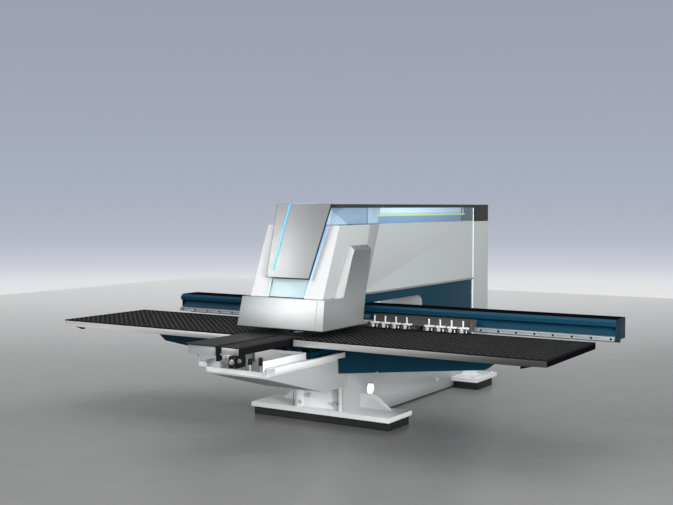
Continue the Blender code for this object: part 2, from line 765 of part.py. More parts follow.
def build_column(finish):
    """Builds the rear cabinet, its cap and the roof with its spine."""
    start = FRAME_BACK + GAP
    low = (-COVER_OUTER, start, FRAME_BOTTOM)
    cabinet = add_part("rear_cabinet", box(low, (COVER_OUTER, CABINET_BACK, CABINET_TOP)), finish["grey"])
    for side in SIDES.values():
        low = (COVER_OUTER - SEAM_DEPTH, start - OVERRUN, 0)
        carve(cabinet, side_box(side, low, (COVER_OUTER + OVERRUN, start + SEAM_WIDTH, ROOF_TOP)))
    low = (-COVER_OUTER, start, CABINET_TOP + GAP)
    cap = box(low, (COVER_OUTER, CABINET_BACK, ROOF_TOP))
    soften(add_part("rear_cap", cap, finish["dark"]), EDGE, 1)
    front = panel_front(PANEL_TOP) + PANEL_THICK + GAP
    outline = mirrored([
        (PANEL_HALF_HIGH - OVERRUN, front),
        (SHELL_HALF, front + OVERRUN * 2),
        (SHELL_HALF, SHELL_TURN_HIGH + OVERRUN * 2),
        (COVER_OUTER, SHELL_BACK_HIGH + OVERRUN * 2),
        (COVER_OUTER, FRAME_BACK),
    ])
    roof = add_part("roof_cap", prism_z(outline, ROOF_BOTTOM, ROOF_TOP), finish["dark"])
    low = (-ROOF_SPINE_HALF, ROOF_SPINE_FRONT, FRAME_TOP + GAP)
    high = (ROOF_SPINE_HALF, FRAME_BACK - OVERRUN, ROOF_BOTTOM + ROOF_THICK / 2)
    carve(roof, box(low, high), "UNION")
    for side in SIDES.values():
        tube = rod_y((side * TUBE_X, TUBE_Z), TUBE_RADIUS, TUBE_FRONT, TUBE_BACK, SMALL_SIDES)
        for y in (TUBE_FRONT + TUBE_CLIP, TUBE_BACK - TUBE_CLIP * 2):
            low = (TUBE_X - TUBE_RADIUS / 2, y, TUBE_Z)
            high = (TUBE_X + TUBE_RADIUS / 2, y + TUBE_CLIP, ROOF_BOTTOM + EDGE)
            carve(roof, side_box(side, low, high), "UNION")
        carve(roof, tube, "UNION")


def build_glazing(finish):
    """Builds the lit glazing band under the roof."""
    bottom = SHELL_TOP + GAP
    top = ROOF_BOTTOM - GAP
    for label, side in SIDES.items():
        rings = []
        for z in (bottom, top):
            front = shell_front(z) + GLASS_THICK * 3
            plan = [
                (PILLAR_INNER_HIGH + OVERRUN, front),
                (SHELL_HALF - GAP, front),
                (SHELL_HALF - GAP, SHELL_TURN_HIGH),
                (COVER_OUTER - GAP, SHELL_BACK_HIGH),
                (COVER_OUTER - GAP, FRAME_BACK),
                (COVER_OUTER - GAP - GLASS_THICK, FRAME_BACK),
                (COVER_OUTER - GAP - GLASS_THICK, SHELL_BACK_HIGH - GLASS_THICK / 2),
                (SHELL_HALF - GAP - GLASS_THICK, SHELL_TURN_HIGH - GLASS_THICK / 2),
                (SHELL_HALF - GAP - GLASS_THICK, front + GLASS_THICK),
                (PILLAR_INNER_HIGH + OVERRUN, front + GLASS_THICK),
            ]
            rings.append([(side * x, y, z) for x, y in plan])
        add_part("glazing_" + label, loft(rings), finish["glass"])


def build_head_shell(finish):
    """Builds the two leaning shell halves of the punching head."""
    for label, side in SIDES.items():
        rings = []
        low = (HOOD_LEDGE + GAP, SHELL_FRONT_LOW, PILLAR_INNER_LOW, SHELL_TURN_LOW, SHELL_BACK_LOW)
        high = (SHELL_TOP, SHELL_FRONT_HIGH, PILLAR_INNER_HIGH, SHELL_TURN_HIGH, SHELL_BACK_HIGH)
        for z, front, inner, turn, back in (low, high):
            plan = [
                (inner, front),
                (SHELL_HALF, front),
                (SHELL_HALF, turn),
                (COVER_OUTER + GAP, back),
                (COVER_OUTER + GAP, back - SHELL_LAND),
                (SHELL_HALF - SHELL_WALL, turn - OVERRUN),
                (SHELL_HALF - SHELL_WALL, front + PILLAR_DEPTH),
                (inner, front + PILLAR_DEPTH),
            ]
            rings.append([(side * x, y, z) for x, y in plan])
        add_part("head_shell_" + label, loft(rings), finish["white"])


def hood_outline():
    """Returns the hood's (y, z) side outline with its ear."""
    return [
        (HOOD_FRONT_LOW, HOOD_BOTTOM),
        (HOOD_FRONT_HIGH, HOOD_LEDGE),
        (EAR_FRONT_LOW, HOOD_LEDGE),
        (EAR_FRONT_HIGH, EAR_TOP),
        (EAR_BACK_HIGH, EAR_TOP),
        (EAR_BACK_MIDDLE, EAR_MIDDLE),
        (HOOD_BACK_LOW, HOOD_BOTTOM),
    ]


def ear_slope(side):
    """Returns the wedge that cuts an ear's front edge to a slope, wide at its foot and narrow at its top."""
    root = SHELL_HALF + EAR_LAND
    reach = (HOOD_HALF + OVERRUN - root) / (HOOD_HALF - root)
    rise = (EAR_TOP + OVERRUN - HOOD_LEDGE) / (EAR_TOP - HOOD_LEDGE)
    front_high = EAR_FRONT_LOW + (EAR_FRONT_HIGH - EAR_FRONT_LOW) * rise
    depth_high = EAR_SLOPE_LOW + (EAR_SLOPE_HIGH - EAR_SLOPE_LOW) * rise
    rings = []
    for z, front, depth in ((HOOD_LEDGE, EAR_FRONT_LOW, EAR_SLOPE_LOW), (EAR_TOP + OVERRUN, front_high, depth_high)):
        rim = HOOD_HALF + OVERRUN
        plan = [(root, front), (rim, front + depth * reach), (rim, front - OVERRUN), (root, front - OVERRUN)]
        rings.append([(side * x, y, z) for x, y in plan])
    return loft(rings)


def build_hood(finish):
    """Builds the hood: one moulded wall round three sides, with an ear on each flank."""
    hood = prism_x(hood_outline(), -HOOD_HALF, HOOD_HALF)
    cells = hood.verts[:] + hood.edges[:] + hood.faces[:]
    bmesh.ops.bisect_plane(hood, geom=cells, plane_co=(0, 0, HOOD_LEDGE), plane_no=(0, 0, 1))
    for vert in hood.verts:
        drop = max(0.0, HOOD_LEDGE - vert.co.z)
        vert.co.x += math.copysign(drop * HOOD_FLARE_share, vert.co.x)
    part = add_part("hood_skirt", hood, finish["silver"])
    ledge = HOOD_LEDGE - HOOD_LEDGE_THICK
    inside = [
        (HOOD_FRONT_LOW + HOOD_WALL, HOOD_BOTTOM - OVERRUN),
        (HOOD_FRONT_HIGH + HOOD_WALL, ledge),
        (SHELL_FRONT_LOW, ledge),
        (SHELL_FRONT_LOW, EAR_TOP + OVERRUN),
        (EAR_BACK_HIGH + OVERRUN, EAR_TOP + OVERRUN),
        (EAR_BACK_HIGH + OVERRUN, HOOD_BOTTOM - OVERRUN),
    ]
    half = SHELL_HALF + GAP
    carve(part, prism_x(inside, -half, half))
    above = [
        (HOOD_FRONT_LOW - OVERRUN, HOOD_LEDGE),
        (SHELL_FRONT_LOW + OVERRUN, HOOD_LEDGE),
        (SHELL_FRONT_LOW + OVERRUN, EAR_TOP + OVERRUN),
        (HOOD_FRONT_LOW - OVERRUN, EAR_TOP + OVERRUN),
    ]
    carve(part, prism_x(above, -half, half))
    for side in SIDES.values():
        carve(part, ear_slope(side))
        root = side * (SHELL_HALF + EAR_LAND)
        rim = side * (HOOD_HALF + OVERRUN)
        fall = EAR_TOP_DROP * (HOOD_HALF + OVERRUN - SHELL_HALF - EAR_LAND) / (HOOD_HALF - SHELL_HALF - EAR_LAND)
        corner = [(root, EAR_TOP), (rim, EAR_TOP - fall), (rim, EAR_TOP + OVERRUN), (root, EAR_TOP + OVERRUN)]
        carve(part, prism_y(corner, EAR_FRONT_LOW - OVERRUN, EAR_BACK_HIGH + OVERRUN))


def build_head_front(finish):
    """Builds the leaning front panel, its light strip and the glass below it."""
    rings = []
    for z in (PANEL_BOTTOM, PANEL_TOP):
        half = panel_half(z)
        y = panel_front(z)
        rings.append([(-half, y, z), (half, y, z), (half, y + PANEL_THICK, z), (-half, y + PANEL_THICK, z)])
    panel = add_part("head_front_panel", loft(rings), finish["silver"])
    for side in SIDES.values():
        inner = side * (PANEL_RIB_X - PANEL_RIB_WIDTH / 2)
        outer = side * (PANEL_RIB_X + PANEL_RIB_WIDTH / 2)
        rib = [
            (panel_front(PANEL_RIB_LOW) + PANEL_THICK / 2, PANEL_RIB_LOW),
            (panel_front(PANEL_RIB_HIGH) + PANEL_THICK / 2, PANEL_RIB_HIGH),
            (head_front(PANEL_RIB_HIGH) - GAP, PANEL_RIB_HIGH),
            (head_front(PANEL_RIB_LOW) - GAP, PANEL_RIB_LOW),
        ]
        carve(panel, prism_x(rib, inner, outer), "UNION")
    rings = []
    for z, x in ((STRIP_BOTTOM, STRIP_X_LOW), (PANEL_TOP - EDGE, STRIP_X_HIGH)):
        back = panel_front(z) - GAP
        half = STRIP_WIDTH / 2
        front = back - STRIP_THICK
        rings.append([(x - half, front, z), (x + half, front, z), (x + half, back, z), (x - half, back, z)])
    add_part("head_light_strip", loft(rings), finish["cyan"])
    rings = []
    for z in (HEAD_GLASS_BOTTOM, HEAD_GLASS_TOP):
        y = shell_front(z) + HEAD_GLASS_SET
        half = PILLAR_INNER_LOW - GAP
        rings.append([(-half, y, z), (half, y, z), (half, y + GLASS_THICK, z), (-half, y + GLASS_THICK, z)])
    add_part("head_glass", loft(rings), finish["glass"])


def build_punching_head(finish, seats):
    """Builds the head body, the ram, the punch holder and the punch."""
    turn = lean(HEAD_FRONT, SHELL_FRONT_LOW + HEAD_FRONT_SET, SHELL_FRONT_HIGH + HEAD_FRONT_SET, HOOD_LEDGE,
                SHELL_TOP)
    outline = [
        (ARM_FRONT - GAP, HEAD_BOTTOM),
        (HEAD_FRONT, HEAD_BOTTOM),
        (HEAD_FRONT, turn),
        (head_front(HEAD_TOP), HEAD_TOP),
        (ARM_FRONT - GAP, HEAD_TOP),
    ]
    body = add_part("punch_head_body", prism_x(outline, -HEAD_HALF, HEAD_HALF), finish["blue"])
    centre = (0, PUNCH_Y)
    carve(body, rod_z(centre, RAM_RADIUS + RAM_CLEARANCE, HEAD_BOTTOM - OVERRUN, RAM_BORE_TOP))
    ram = rod_z(centre, RAM_RADIUS, RAM_BOTTOM, RAM_TOP)
    add_part("ram", ram, finish["steel"], seats["ram"], smooth=True)
    top = RAM_BOTTOM - GAP
    profile = [
        (0.0, HOLDER_BOTTOM), (HOLDER_NECK, HOLDER_BOTTOM), (HOLDER_RADIUS, HOLDER_BOTTOM + EDGE * 3),
        (HOLDER_RADIUS, top - EDGE * 3), (HOLDER_NECK, top), (0.0, top),
    ]
    holder = solid_turned(centre, profile)
    part = add_part("punch_holder", holder, finish["steel"], seats["punch_turn"], smooth=True)
    half = KEY_WIDTH / 2
    low = (HOLDER_NECK, PUNCH_Y - half, HOLDER_BOTTOM + EDGE * 3)
    carve(part, box(low, (HOLDER_RADIUS + EDGE, PUNCH_Y + half, top - EDGE * 3)), "UNION")
    top = HOLDER_BOTTOM - GAP
    profile = [
        (0.0, PUNCH_BOTTOM), (PUNCH_TIP_RADIUS, PUNCH_BOTTOM), (PUNCH_TIP_RADIUS, PUNCH_BOTTOM + PUNCH_TIP),
        (PUNCH_RADIUS, PUNCH_BOTTOM + PUNCH_TIP + EDGE), (PUNCH_RADIUS, top), (0.0, top),
    ]
    add_part("punch", solid_turned(centre, profile), finish["steel"], seats["punch_turn"], smooth=True)


def solid_turned(centre, profile):
    """Returns a turned body whose profile starts and ends on the axis."""
    mesh = bmesh.new()
    poles = [mesh.verts.new((centre[0], centre[1], profile[index][1])) for index in (0, -1)]
    rings = []
    for index in range(ROUND_SIDES):
        angle = 2 * math.pi * index / ROUND_SIDES
        spoke = (math.cos(angle), math.sin(angle))
        ring = [mesh.verts.new((centre[0] + r * spoke[0], centre[1] + r * spoke[1], z)) for r, z in profile[1:-1]]
        rings.append(ring)
    for index in range(ROUND_SIDES):
        here = rings[index]
        there = rings[(index + 1) % ROUND_SIDES]
        mesh.faces.new((poles[0], here[0], there[0]))
        mesh.faces.new((poles[1], there[-1], here[-1]))
        for step in range(len(here) - 1):
            mesh.faces.new((here[step], there[step], there[step + 1], here[step + 1]))
    return mesh


def build_die_station(finish, seats):
    """Builds the turning die holder with its ring gear, and the die."""
    centre = (0, PUNCH_Y)
    bottom = DIE_SEAT_TOP + GAP
    profile = [
        (DIE_CHUTE, bottom), (DIE_HOLDER_RADIUS, bottom), (DIE_HOLDER_RADIUS, DIE_HOLDER_TOP),
        (DIE_CHUTE, DIE_HOLDER_TOP),
    ]
    holder = add_part("die_holder", turned(centre, profile), finish["steel"], seats["die_turn"], smooth=True)
    teeth = []
    for index in range(GEAR_TEETH * 4):
        radius = DIE_HOLDER_RADIUS + (GEAR_TOOTH if index % 4 < 2 else -GEAR_TOOTH / 2)
        angle = 2 * math.pi * index / (GEAR_TEETH * 4)
        teeth.append((radius * math.cos(angle), PUNCH_Y + radius * math.sin(angle)))
    carve(holder, prism_z(teeth, GEAR_BOTTOM, GEAR_TOP), "UNION")
    carve(holder, rod_z(centre, DIE_CHUTE, bottom - OVERRUN, DIE_HOLDER_TOP + OVERRUN))
    bottom = DIE_HOLDER_TOP + GAP
    profile = [(DIE_BORE, bottom), (DIE_RADIUS, bottom), (DIE_RADIUS, DIE_TOP), (DIE_BORE, DIE_TOP)]
    add_part("die", turned(centre, profile), finish["steel"], seats["die_turn"], smooth=True)


def housing_section(inset):
    """Returns the front housing's (y, z) outline, moved in by the wall for its inside."""
    slope = math.atan2(HOUSING_FRONT_BOTTOM - HOUSING_LOW, HOUSING_LOW_FRONT - HOUSING_FRONT)
    run = HOUSING_ROUND * math.tan(slope / 2)
    centre = (HOUSING_LOW_FRONT + run, HOUSING_LOW + HOUSING_ROUND)
    radius = HOUSING_ROUND - inset
    low = arc(centre, radius, -90 - math.degrees(slope), -90)
    side = inset / math.cos(slope) - inset * math.tan(slope)
    front = HOUSING_FRONT + inset
    start = HOUSING_FRONT_BOTTOM + side
    back = HOUSING_BACK + (OVERRUN if inset else 0)
    top = TRAY_BOTTOM - GAP + (OVERRUN if inset else 0)
    return [(front, start)] + low + [(back, HOUSING_LOW + inset), (back, top), (front, top)]


def build_housing(finish):
    """Builds the boat-shaped front housing under the tray, open at its top and back."""
    outer = prism_x(housing_section(0), -HOUSING_HALF, HOUSING_HALF)
    housing = add_part("front_housing", outer, finish["grey"])
    half = HOUSING_HALF - HOUSING_WALL
    carve(housing, prism_x(housing_section(HOUSING_WALL), -half, half))


def build_tray(finish):
    """Builds the parts tray: a main floor with a raised channel along each side."""
    wall = TRAY_WALL
    section = mirrored([
        (0, TRAY_BOTTOM),
        (TRAY_MAIN_HALF, TRAY_BOTTOM),
        (TRAY_MAIN_HALF, TRAY_CHANNEL),
        (TRAY_HALF, TRAY_CHANNEL),
        (TRAY_HALF, TRAY_TOP),
        (TRAY_HALF - wall, TRAY_TOP),
        (TRAY_HALF - wall, TRAY_CHANNEL + wall),
        (TRAY_MAIN_HALF + wall, TRAY_CHANNEL + wall),
        (TRAY_MAIN_HALF + wall, TRAY_MAIN_TOP),
        (TRAY_MAIN_HALF - wall, TRAY_MAIN_TOP),
        (TRAY_MAIN_HALF - wall, TRAY_BOTTOM + wall),
        (0, TRAY_BOTTOM + wall),
    ])
    section = [point for index, point in enumerate(section) if point != section[index - 1]]
    tray = add_part("parts_tray", prism_y(section, TRAY_FRONT, TRAY_BACK), finish["white"])
    front = TRAY_FRONT + TRAY_LIP_SET
    reach = TRAY_MAIN_HALF - wall / 2
    low = (-reach, front, TRAY_BOTTOM + wall / 2)
    carve(tray, box(low, (reach, front + wall, TRAY_MAIN_TOP - wall)), "UNION")
    for side in SIDES.values():
        low = (TRAY_MAIN_HALF + wall / 2, front, TRAY_CHANNEL + wall / 2)
        high = (TRAY_HALF - wall / 2, front + wall, TRAY_TOP - wall)
        carve(tray, side_box(side, low, high), "UNION")
    low = (TRAY_BLOCK_X, TRAY_BLOCK_Y, TRAY_BOTTOM + wall / 2)
    high = (TRAY_BLOCK_X + TRAY_BLOCK_SIZE, TRAY_BLOCK_Y + TRAY_BLOCK_SIZE, TRAY_BOTTOM + wall + TRAY_BLOCK_HEIGHT)
    carve(tray, box(low, high), "UNION")
    half = FRAME_HALF + TRAY_ARM_CLEARANCE
    low = (-half, LOWER_ARM_FRONT - TRAY_ARM_CLEARANCE, TRAY_BOTTOM - OVERRUN)
    carve(tray, box(low, (half, TRAY_BACK + OVERRUN, TRAY_TOP + OVERRUN)))
    floor = TRAY_BOTTOM + wall / 2
    for x, y in BUFFER_SPOTS:
        profile = [
            (0.0, floor), (BUFFER_STEM, floor), (BUFFER_STEM, BUFFER_BOTTOM), (BUFFER_RADIUS, BUFFER_BOTTOM),
            (BUFFER_RADIUS, BUFFER_TOP - BUFFER_CAP), (BUFFER_RADIUS - BUFFER_CAP / 2, BUFFER_TOP),
            (0.0, BUFFER_TOP),
        ]
        carve(tray, solid_turned((x, y), profile), "UNION")


def build_middle_table(finish, seats):
    """Builds the parts flap with its hinge, the brush beam and the fixed die table."""
    sheet_bottom = TABLE_TOP - FLAP_SHEET
    sheet = box((FLAP_LEFT, FLAP_FRONT, sheet_bottom), (FLAP_RIGHT, FLAP_BACK, TABLE_TOP))
    add_part("parts_flap", sheet, finish["dark"], seats["flap"])
    top = sheet_bottom - GAP
    back = HINGE_Y + HINGE_BAR
    low = (FLAP_FRAME_LEFT, FLAP_FRAME_FRONT, FLAP_FRAME_BOTTOM)
    ring = add_part("flap_frame", box(low, (FLAP_FRAME_RIGHT, back, top)), finish["dark"], seats["flap"])
    wall = FLAP_FRAME_WALL
    low = (FLAP_FRAME_LEFT + wall, FLAP_FRAME_FRONT + wall, FLAP_FRAME_BOTTOM - OVERRUN)
    carve(ring, box(low, (FLAP_FRAME_RIGHT - wall, HINGE_Y - HINGE_BAR, top + OVERRUN)))
    low = (FLAP_FRAME_LEFT, FLAP_FRAME_FRONT, FLAP_APRON_BOTTOM)
    high = (FLAP_FRAME_RIGHT, FLAP_FRAME_FRONT + wall / 2, FLAP_FRAME_BOTTOM + wall)
    carve(ring, box(low, high), "UNION")
    low = (FLAP_FRAME_LEFT - OVERRUN, HINGE_Y - HINGE_BAR, FLAP_FRAME_BOTTOM - OVERRUN)
    carve(ring, box(low, (FLAP_FRAME_RIGHT + OVERRUN, back + OVERRUN, HINGE_Z - HINGE_BAR)))
    centre = (HINGE_Y, HINGE_Z)
    hole = HINGE_RADIUS + HINGE_CLEARANCE
    start = FLAP_FRAME_LEFT - OVERRUN
    end = FLAP_FRAME_RIGHT + OVERRUN
    carve(ring, rod_x(centre, hole, start, end, SMALL_SIDES * 2))
    rod_start = FLAP_FRAME_LEFT - GAP * 4 - LUG_THICK
    rod_end = FLAP_FRAME_RIGHT + GAP * 4 + LUG_THICK
    rod = rod_x(centre, HINGE_RADIUS, rod_start, rod_end, SMALL_SIDES * 2)
    add_part("flap_hinge_rod", rod, finish["steel"], smooth=True)

    low = (DIE_TABLE_LEFT, DIE_TABLE_FRONT, DIE_TABLE_BOTTOM)
    table = add_part("die_table", box(low, (DIE_TABLE_RIGHT, DIE_TABLE_BACK, TABLE_TOP)), finish["dark"])
    for start in (rod_start, FLAP_FRAME_RIGHT + GAP * 4):
        lug = [
            (HINGE_Y - LUG_REACH, HINGE_Z - LUG_REACH),
            (DIE_TABLE_FRONT + LUG_REACH, HINGE_Z - LUG_REACH),
            (DIE_TABLE_FRONT + LUG_REACH * 2, DIE_TABLE_BOTTOM + EDGE),
            (DIE_TABLE_FRONT + EDGE / 2, DIE_TABLE_BOTTOM + EDGE),
            (DIE_TABLE_FRONT + EDGE / 2, HINGE_Z + LUG_REACH),
            (HINGE_Y - LUG_REACH, HINGE_Z + LUG_REACH),
        ]
        carve(table, prism_x(lug, start, start + LUG_THICK), "UNION")
    hole = rod_x(centre, HINGE_RADIUS + GAP, rod_start - OVERRUN, rod_end + OVERRUN, SMALL_SIDES * 2)
    carve(table, hole)
    well = DIE_HOLDER_RADIUS + GEAR_TOOTH + EDGE
    carve(table, rod_z((0, PUNCH_Y), well, DIE_TABLE_BOTTOM - OVERRUN, TABLE_TOP + OVERRUN))
    for side in SIDES.values():
        for y in DIE_TABLE_LEG_SPOTS:
            low = (DIE_TABLE_LEG_X, y, THROAT_FLOOR + GAP)
            high = (DIE_TABLE_LEG_X + DIE_TABLE_LEG, y + DIE_TABLE_LEG, DIE_TABLE_BOTTOM + EDGE)
            carve(table, side_box(side, low, high), "UNION")

    low = (BRUSH_LEFT, FLAP_FRONT, BRUSH_BOTTOM)
    add_part("brush_beam", box(low, (BRUSH_RIGHT, BRUSH_BACK, TABLE_TOP)), finish["dark"])
    build_beam_support(finish)


def build_beam_support(finish):
    """Builds the block, leg and edge guide that carry the brush beam, and the junction box."""
    top = BRUSH_BOTTOM - GAP
    low = (SUPPORT_LEFT, FLAP_FRONT, SUPPORT_BOTTOM)
    support = box(low, (SUPPORT_RIGHT, FLAP_FRONT + SUPPORT_LENGTH, top))
    part = add_part("beam_support", support, finish["aluminium"])
    middle = (SUPPORT_LEFT + SUPPORT_RIGHT) / 2
    low = (middle - SUPPORT_LEG, SUPPORT_LEG_Y, TRAY_BOTTOM + TRAY_WALL + GAP)
    high = (middle - SUPPORT_LEG / 2, SUPPORT_LEG_Y + SUPPORT_LEG, SUPPORT_BOTTOM + EDGE)
    carve(part, box(low, high), "UNION")
    knob = rod_y((KNOB_X, KNOB_Z), KNOB_RADIUS, FLAP_FRONT - KNOB_LENGTH, FLAP_FRONT + EDGE, ROUND_SIDES)
    carve(part, knob, "UNION")
    low = (GUIDE_LEFT, FLAP_FRONT, GUIDE_BOTTOM)
    carve(part, box(low, (BRUSH_LEFT - GAP, BRUSH_BACK, GUIDE_TOP)), "UNION")
    low = (GUIDE_LEFT, FLAP_FRONT, GUIDE_PLATE_BOTTOM)
    high = (GUIDE_PLATE_RIGHT, FLAP_FRONT + GUIDE_PLATE_THICK, GUIDE_BOTTOM + EDGE)
    carve(part, box(low, high), "UNION")
    low = (GUIDE_LEFT + EDGE, FLAP_FRONT + EDGE / 2, SUPPORT_BOTTOM + EDGE)
    carve(part, box(low, (SUPPORT_LEFT + EDGE, FLAP_FRONT + GUIDE_PLATE_THICK, top - EDGE)), "UNION")
    low = (JUNCTION_LEFT, JUNCTION_FRONT, JUNCTION_BOTTOM)
    high = (JUNCTION_LEFT + JUNCTION_WIDTH, JUNCTION_FRONT + JUNCTION_DEPTH, top)
    junction = add_part("junction_box", box(low, high), finish["dark"])
    z = (JUNCTION_BOTTOM + top) / 2
    x = JUNCTION_LEFT + JUNCTION_WIDTH / 2
    gland = rod_y((x, z), GLAND_RADIUS, JUNCTION_FRONT - GLAND_LENGTH, JUNCTION_FRONT + EDGE, SMALL_SIDES)
    carve(junction, gland, "UNION")
    y = JUNCTION_FRONT + JUNCTION_DEPTH / 2
    outer = JUNCTION_LEFT + JUNCTION_WIDTH
    carve(junction, rod_x((y, z), GLAND_RADIUS, outer - EDGE, outer + GLAND_LENGTH, SMALL_SIDES), "UNION")


def y_block_section():
    """Returns the right-hand Y guide block's (x, z) section, open round the rail."""
    back = BEAM_ROOT + EDGE
    channel = FRAME_HALF + Y_RAIL_DEPTH + GUIDE_CLEARANCE
    grip = Y_RAIL_HEIGHT / 2 + GUIDE_CLEARANCE
    tall = Y_BLOCK_HEIGHT / 2
    return [
        (Y_BLOCK_INNER, Y_RAIL_Z - tall), (back, Y_RAIL_Z - tall), (back, Y_RAIL_Z + tall),
        (Y_BLOCK_INNER, Y_RAIL_Z + tall), (Y_BLOCK_INNER, Y_RAIL_Z + grip), (channel, Y_RAIL_Z + grip),
        (channel, Y_RAIL_Z - grip), (Y_BLOCK_INNER, Y_RAIL_Z - grip),
    ]


def build_cross_beams(finish, seats):
    """Builds the wedge-shaped cross beams with their side plates, and the carrier beam."""
    for label, side in SIDES.items():
        outline = [
            (BEAM_ROOT, BEAM_ROOT_BOTTOM),
            (BEAM_TIP, BEAM_TIP_BOTTOM),
            (BEAM_END, BEAM_END_BOTTOM),
            (BEAM_END, BEAM_TOP),
            (BEAM_NOTCH, BEAM_TOP),
            (BEAM_NOTCH, BEAM_NOTCH_TOP),
            (BEAM_ROOT, BEAM_NOTCH_TOP),
        ]
        outline = [(side * x, z) for x, z in outline]
        beam = prism_y(outline, BEAM_FRONT, BEAM_FRONT + BEAM_DEPTH)
        part = add_part("cross_beam_" + label, beam, finish["blue"], seats["y_axis"])
        plate = [
            (BEAM_FRONT + BEAM_DEPTH / 2, SIDE_PLATE_BOTTOM),
            (SIDE_PLATE_BACK, SIDE_PLATE_BOTTOM),
            (SIDE_PLATE_BACK, BEAM_NOTCH_TOP),
            (CARRIER_BACK, CARRIER_BOTTOM - GAP),
            (CARRIER_FRONT, CARRIER_BOTTOM - GAP),
            (CARRIER_FRONT - BEAM_DEPTH, BEAM_NOTCH_TOP),
            (BEAM_FRONT + BEAM_DEPTH / 2, BEAM_NOTCH_TOP),
        ]
        outer = BEAM_ROOT + SIDE_PLATE_THICK
        carve(part, prism_x(plate, side * BEAM_ROOT, side * outer), "UNION")
        section = [(side * x, z) for x, z in y_block_section()]
        for start in (Y_BLOCK_FRONT, SIDE_PLATE_BACK - Y_BLOCK_LENGTH):
            carve(part, prism_y(section, start, start + Y_BLOCK_LENGTH), "UNION")
    low = (-CARRIER_HALF, CARRIER_FRONT, CARRIER_BOTTOM)
    beam = box(low, (CARRIER_HALF, CARRIER_BACK, CARRIER_TOP))
    carrier = add_part("carrier_beam", beam, finish["blue"], seats["y_axis"])
    wall = CARRIER_WALL
    low = (-CARRIER_HALF - OVERRUN, CARRIER_FRONT + wall, CARRIER_BOTTOM + wall)
    high = (CARRIER_HALF + OVERRUN, CARRIER_BACK - wall, CARRIER_TOP - wall)
    carve(carrier, box(low, high))
    for middle in (-X_BLOCK_OUTER, -X_BLOCK_INNER, X_BLOCK_INNER, X_BLOCK_OUTER):
        block = prism_x(x_block_section(), middle - X_BLOCK_LENGTH / 2, middle + X_BLOCK_LENGTH / 2)
        carve(carrier, block, "UNION")


def x_block_section():
    """Returns the X guide block's (y, z) section, open round the rail's guide."""
    wide = X_BLOCK_WIDTH / 2
    grip = X_RAIL_WIDTH / 2 + GUIDE_CLEARANCE
    bottom = CARRIER_TOP - EDGE
    return [
        (X_RAIL_Y - wide, bottom), (X_RAIL_Y + wide, bottom), (X_RAIL_Y + wide, X_BLOCK_TOP),
        (X_RAIL_Y + grip, X_BLOCK_TOP), (X_RAIL_Y + grip, X_RAIL_BOTTOM - GUIDE_CLEARANCE),
        (X_RAIL_Y - grip, X_RAIL_BOTTOM - GUIDE_CLEARANCE), (X_RAIL_Y - grip, X_BLOCK_TOP),
        (X_RAIL_Y - wide, X_BLOCK_TOP),
    ]


def build_tables(finish, seats):
    """Builds the ribbed table frames and the brush fields on them."""
    for label, side in SIDES.items():
        inner = TABLE_INNER_RIGHT if side > 0 else TABLE_INNER_LEFT
        top = TABLE_TOP - BRUSH_THICK - GAP
        outline = [
            (inner, TABLE_BOTTOM), (TABLE_OUTER - TABLE_TAPER, TABLE_BOTTOM), (TABLE_OUTER, TABLE_TIP_BOTTOM),
            (TABLE_OUTER, top), (inner, top),
        ]
        outline = [(side * x, z) for x, z in outline]
        frame = prism_y(outline, TABLE_FRONT, TABLE_BACK)
        part = add_part("table_frame_" + label, frame, finish["aluminium"], seats["y_axis"])
        bay = (TABLE_OUTER - TABLE_TAPER - inner - TABLE_WALL) / TABLE_BAYS
        bays = bmesh.new()
        for index in range(TABLE_BAYS):
            start = inner + TABLE_WALL + bay * index
            for low_y, high_y in bay_spans():
                low = (start, low_y, TABLE_BOTTOM - OVERRUN)
                side_box(side, low, (start + bay - TABLE_WALL, high_y, top - TABLE_SKIN), bays)
        carve(part, bays)
        low = (STOP_X - STOP_LENGTH / 2, TABLE_FRONT + TABLE_WALL, TABLE_BOTTOM - STOP_HEIGHT)
        high = (STOP_X + STOP_LENGTH / 2, TABLE_FRONT + TABLE_WALL + STOP_DEPTH, TABLE_BOTTOM + TABLE_WALL)
        carve(part, side_box(side, low, high), "UNION")
        low = (inner, TABLE_FRONT, TABLE_TOP - BRUSH_THICK)
        field = side_box(side, low, (TABLE_OUTER, TABLE_BACK, TABLE_TOP))
        add_part("brush_top_" + label, field, finish["brush"], seats["y_axis"])


def bay_spans():
    """Returns the y spans of the table frame's bays, ahead of and behind the cross beam."""
    return (
        (TABLE_FRONT + TABLE_WALL, BEAM_FRONT - TABLE_WALL),
        (BEAM_FRONT + BEAM_DEPTH + TABLE_WALL, TABLE_BACK - TABLE_WALL),
    )


def rail_section():
    """Returns the transverse rail's (y, z) section."""
    return [
        (RAIL_FRONT, RAIL_BOTTOM),
        (RAIL_FRONT, RAIL_STEP_Z),
        (RAIL_RECESS, RAIL_RECESS_Z),
        (RAIL_NOSE, RAIL_NOSE_LOW),
        (RAIL_NOSE, RAIL_NOSE_HIGH),
        (RAIL_BROW, RAIL_TOP),
        (RAIL_BACK, RAIL_TOP),
        (RAIL_BACK, RAIL_BOTTOM),
    ]


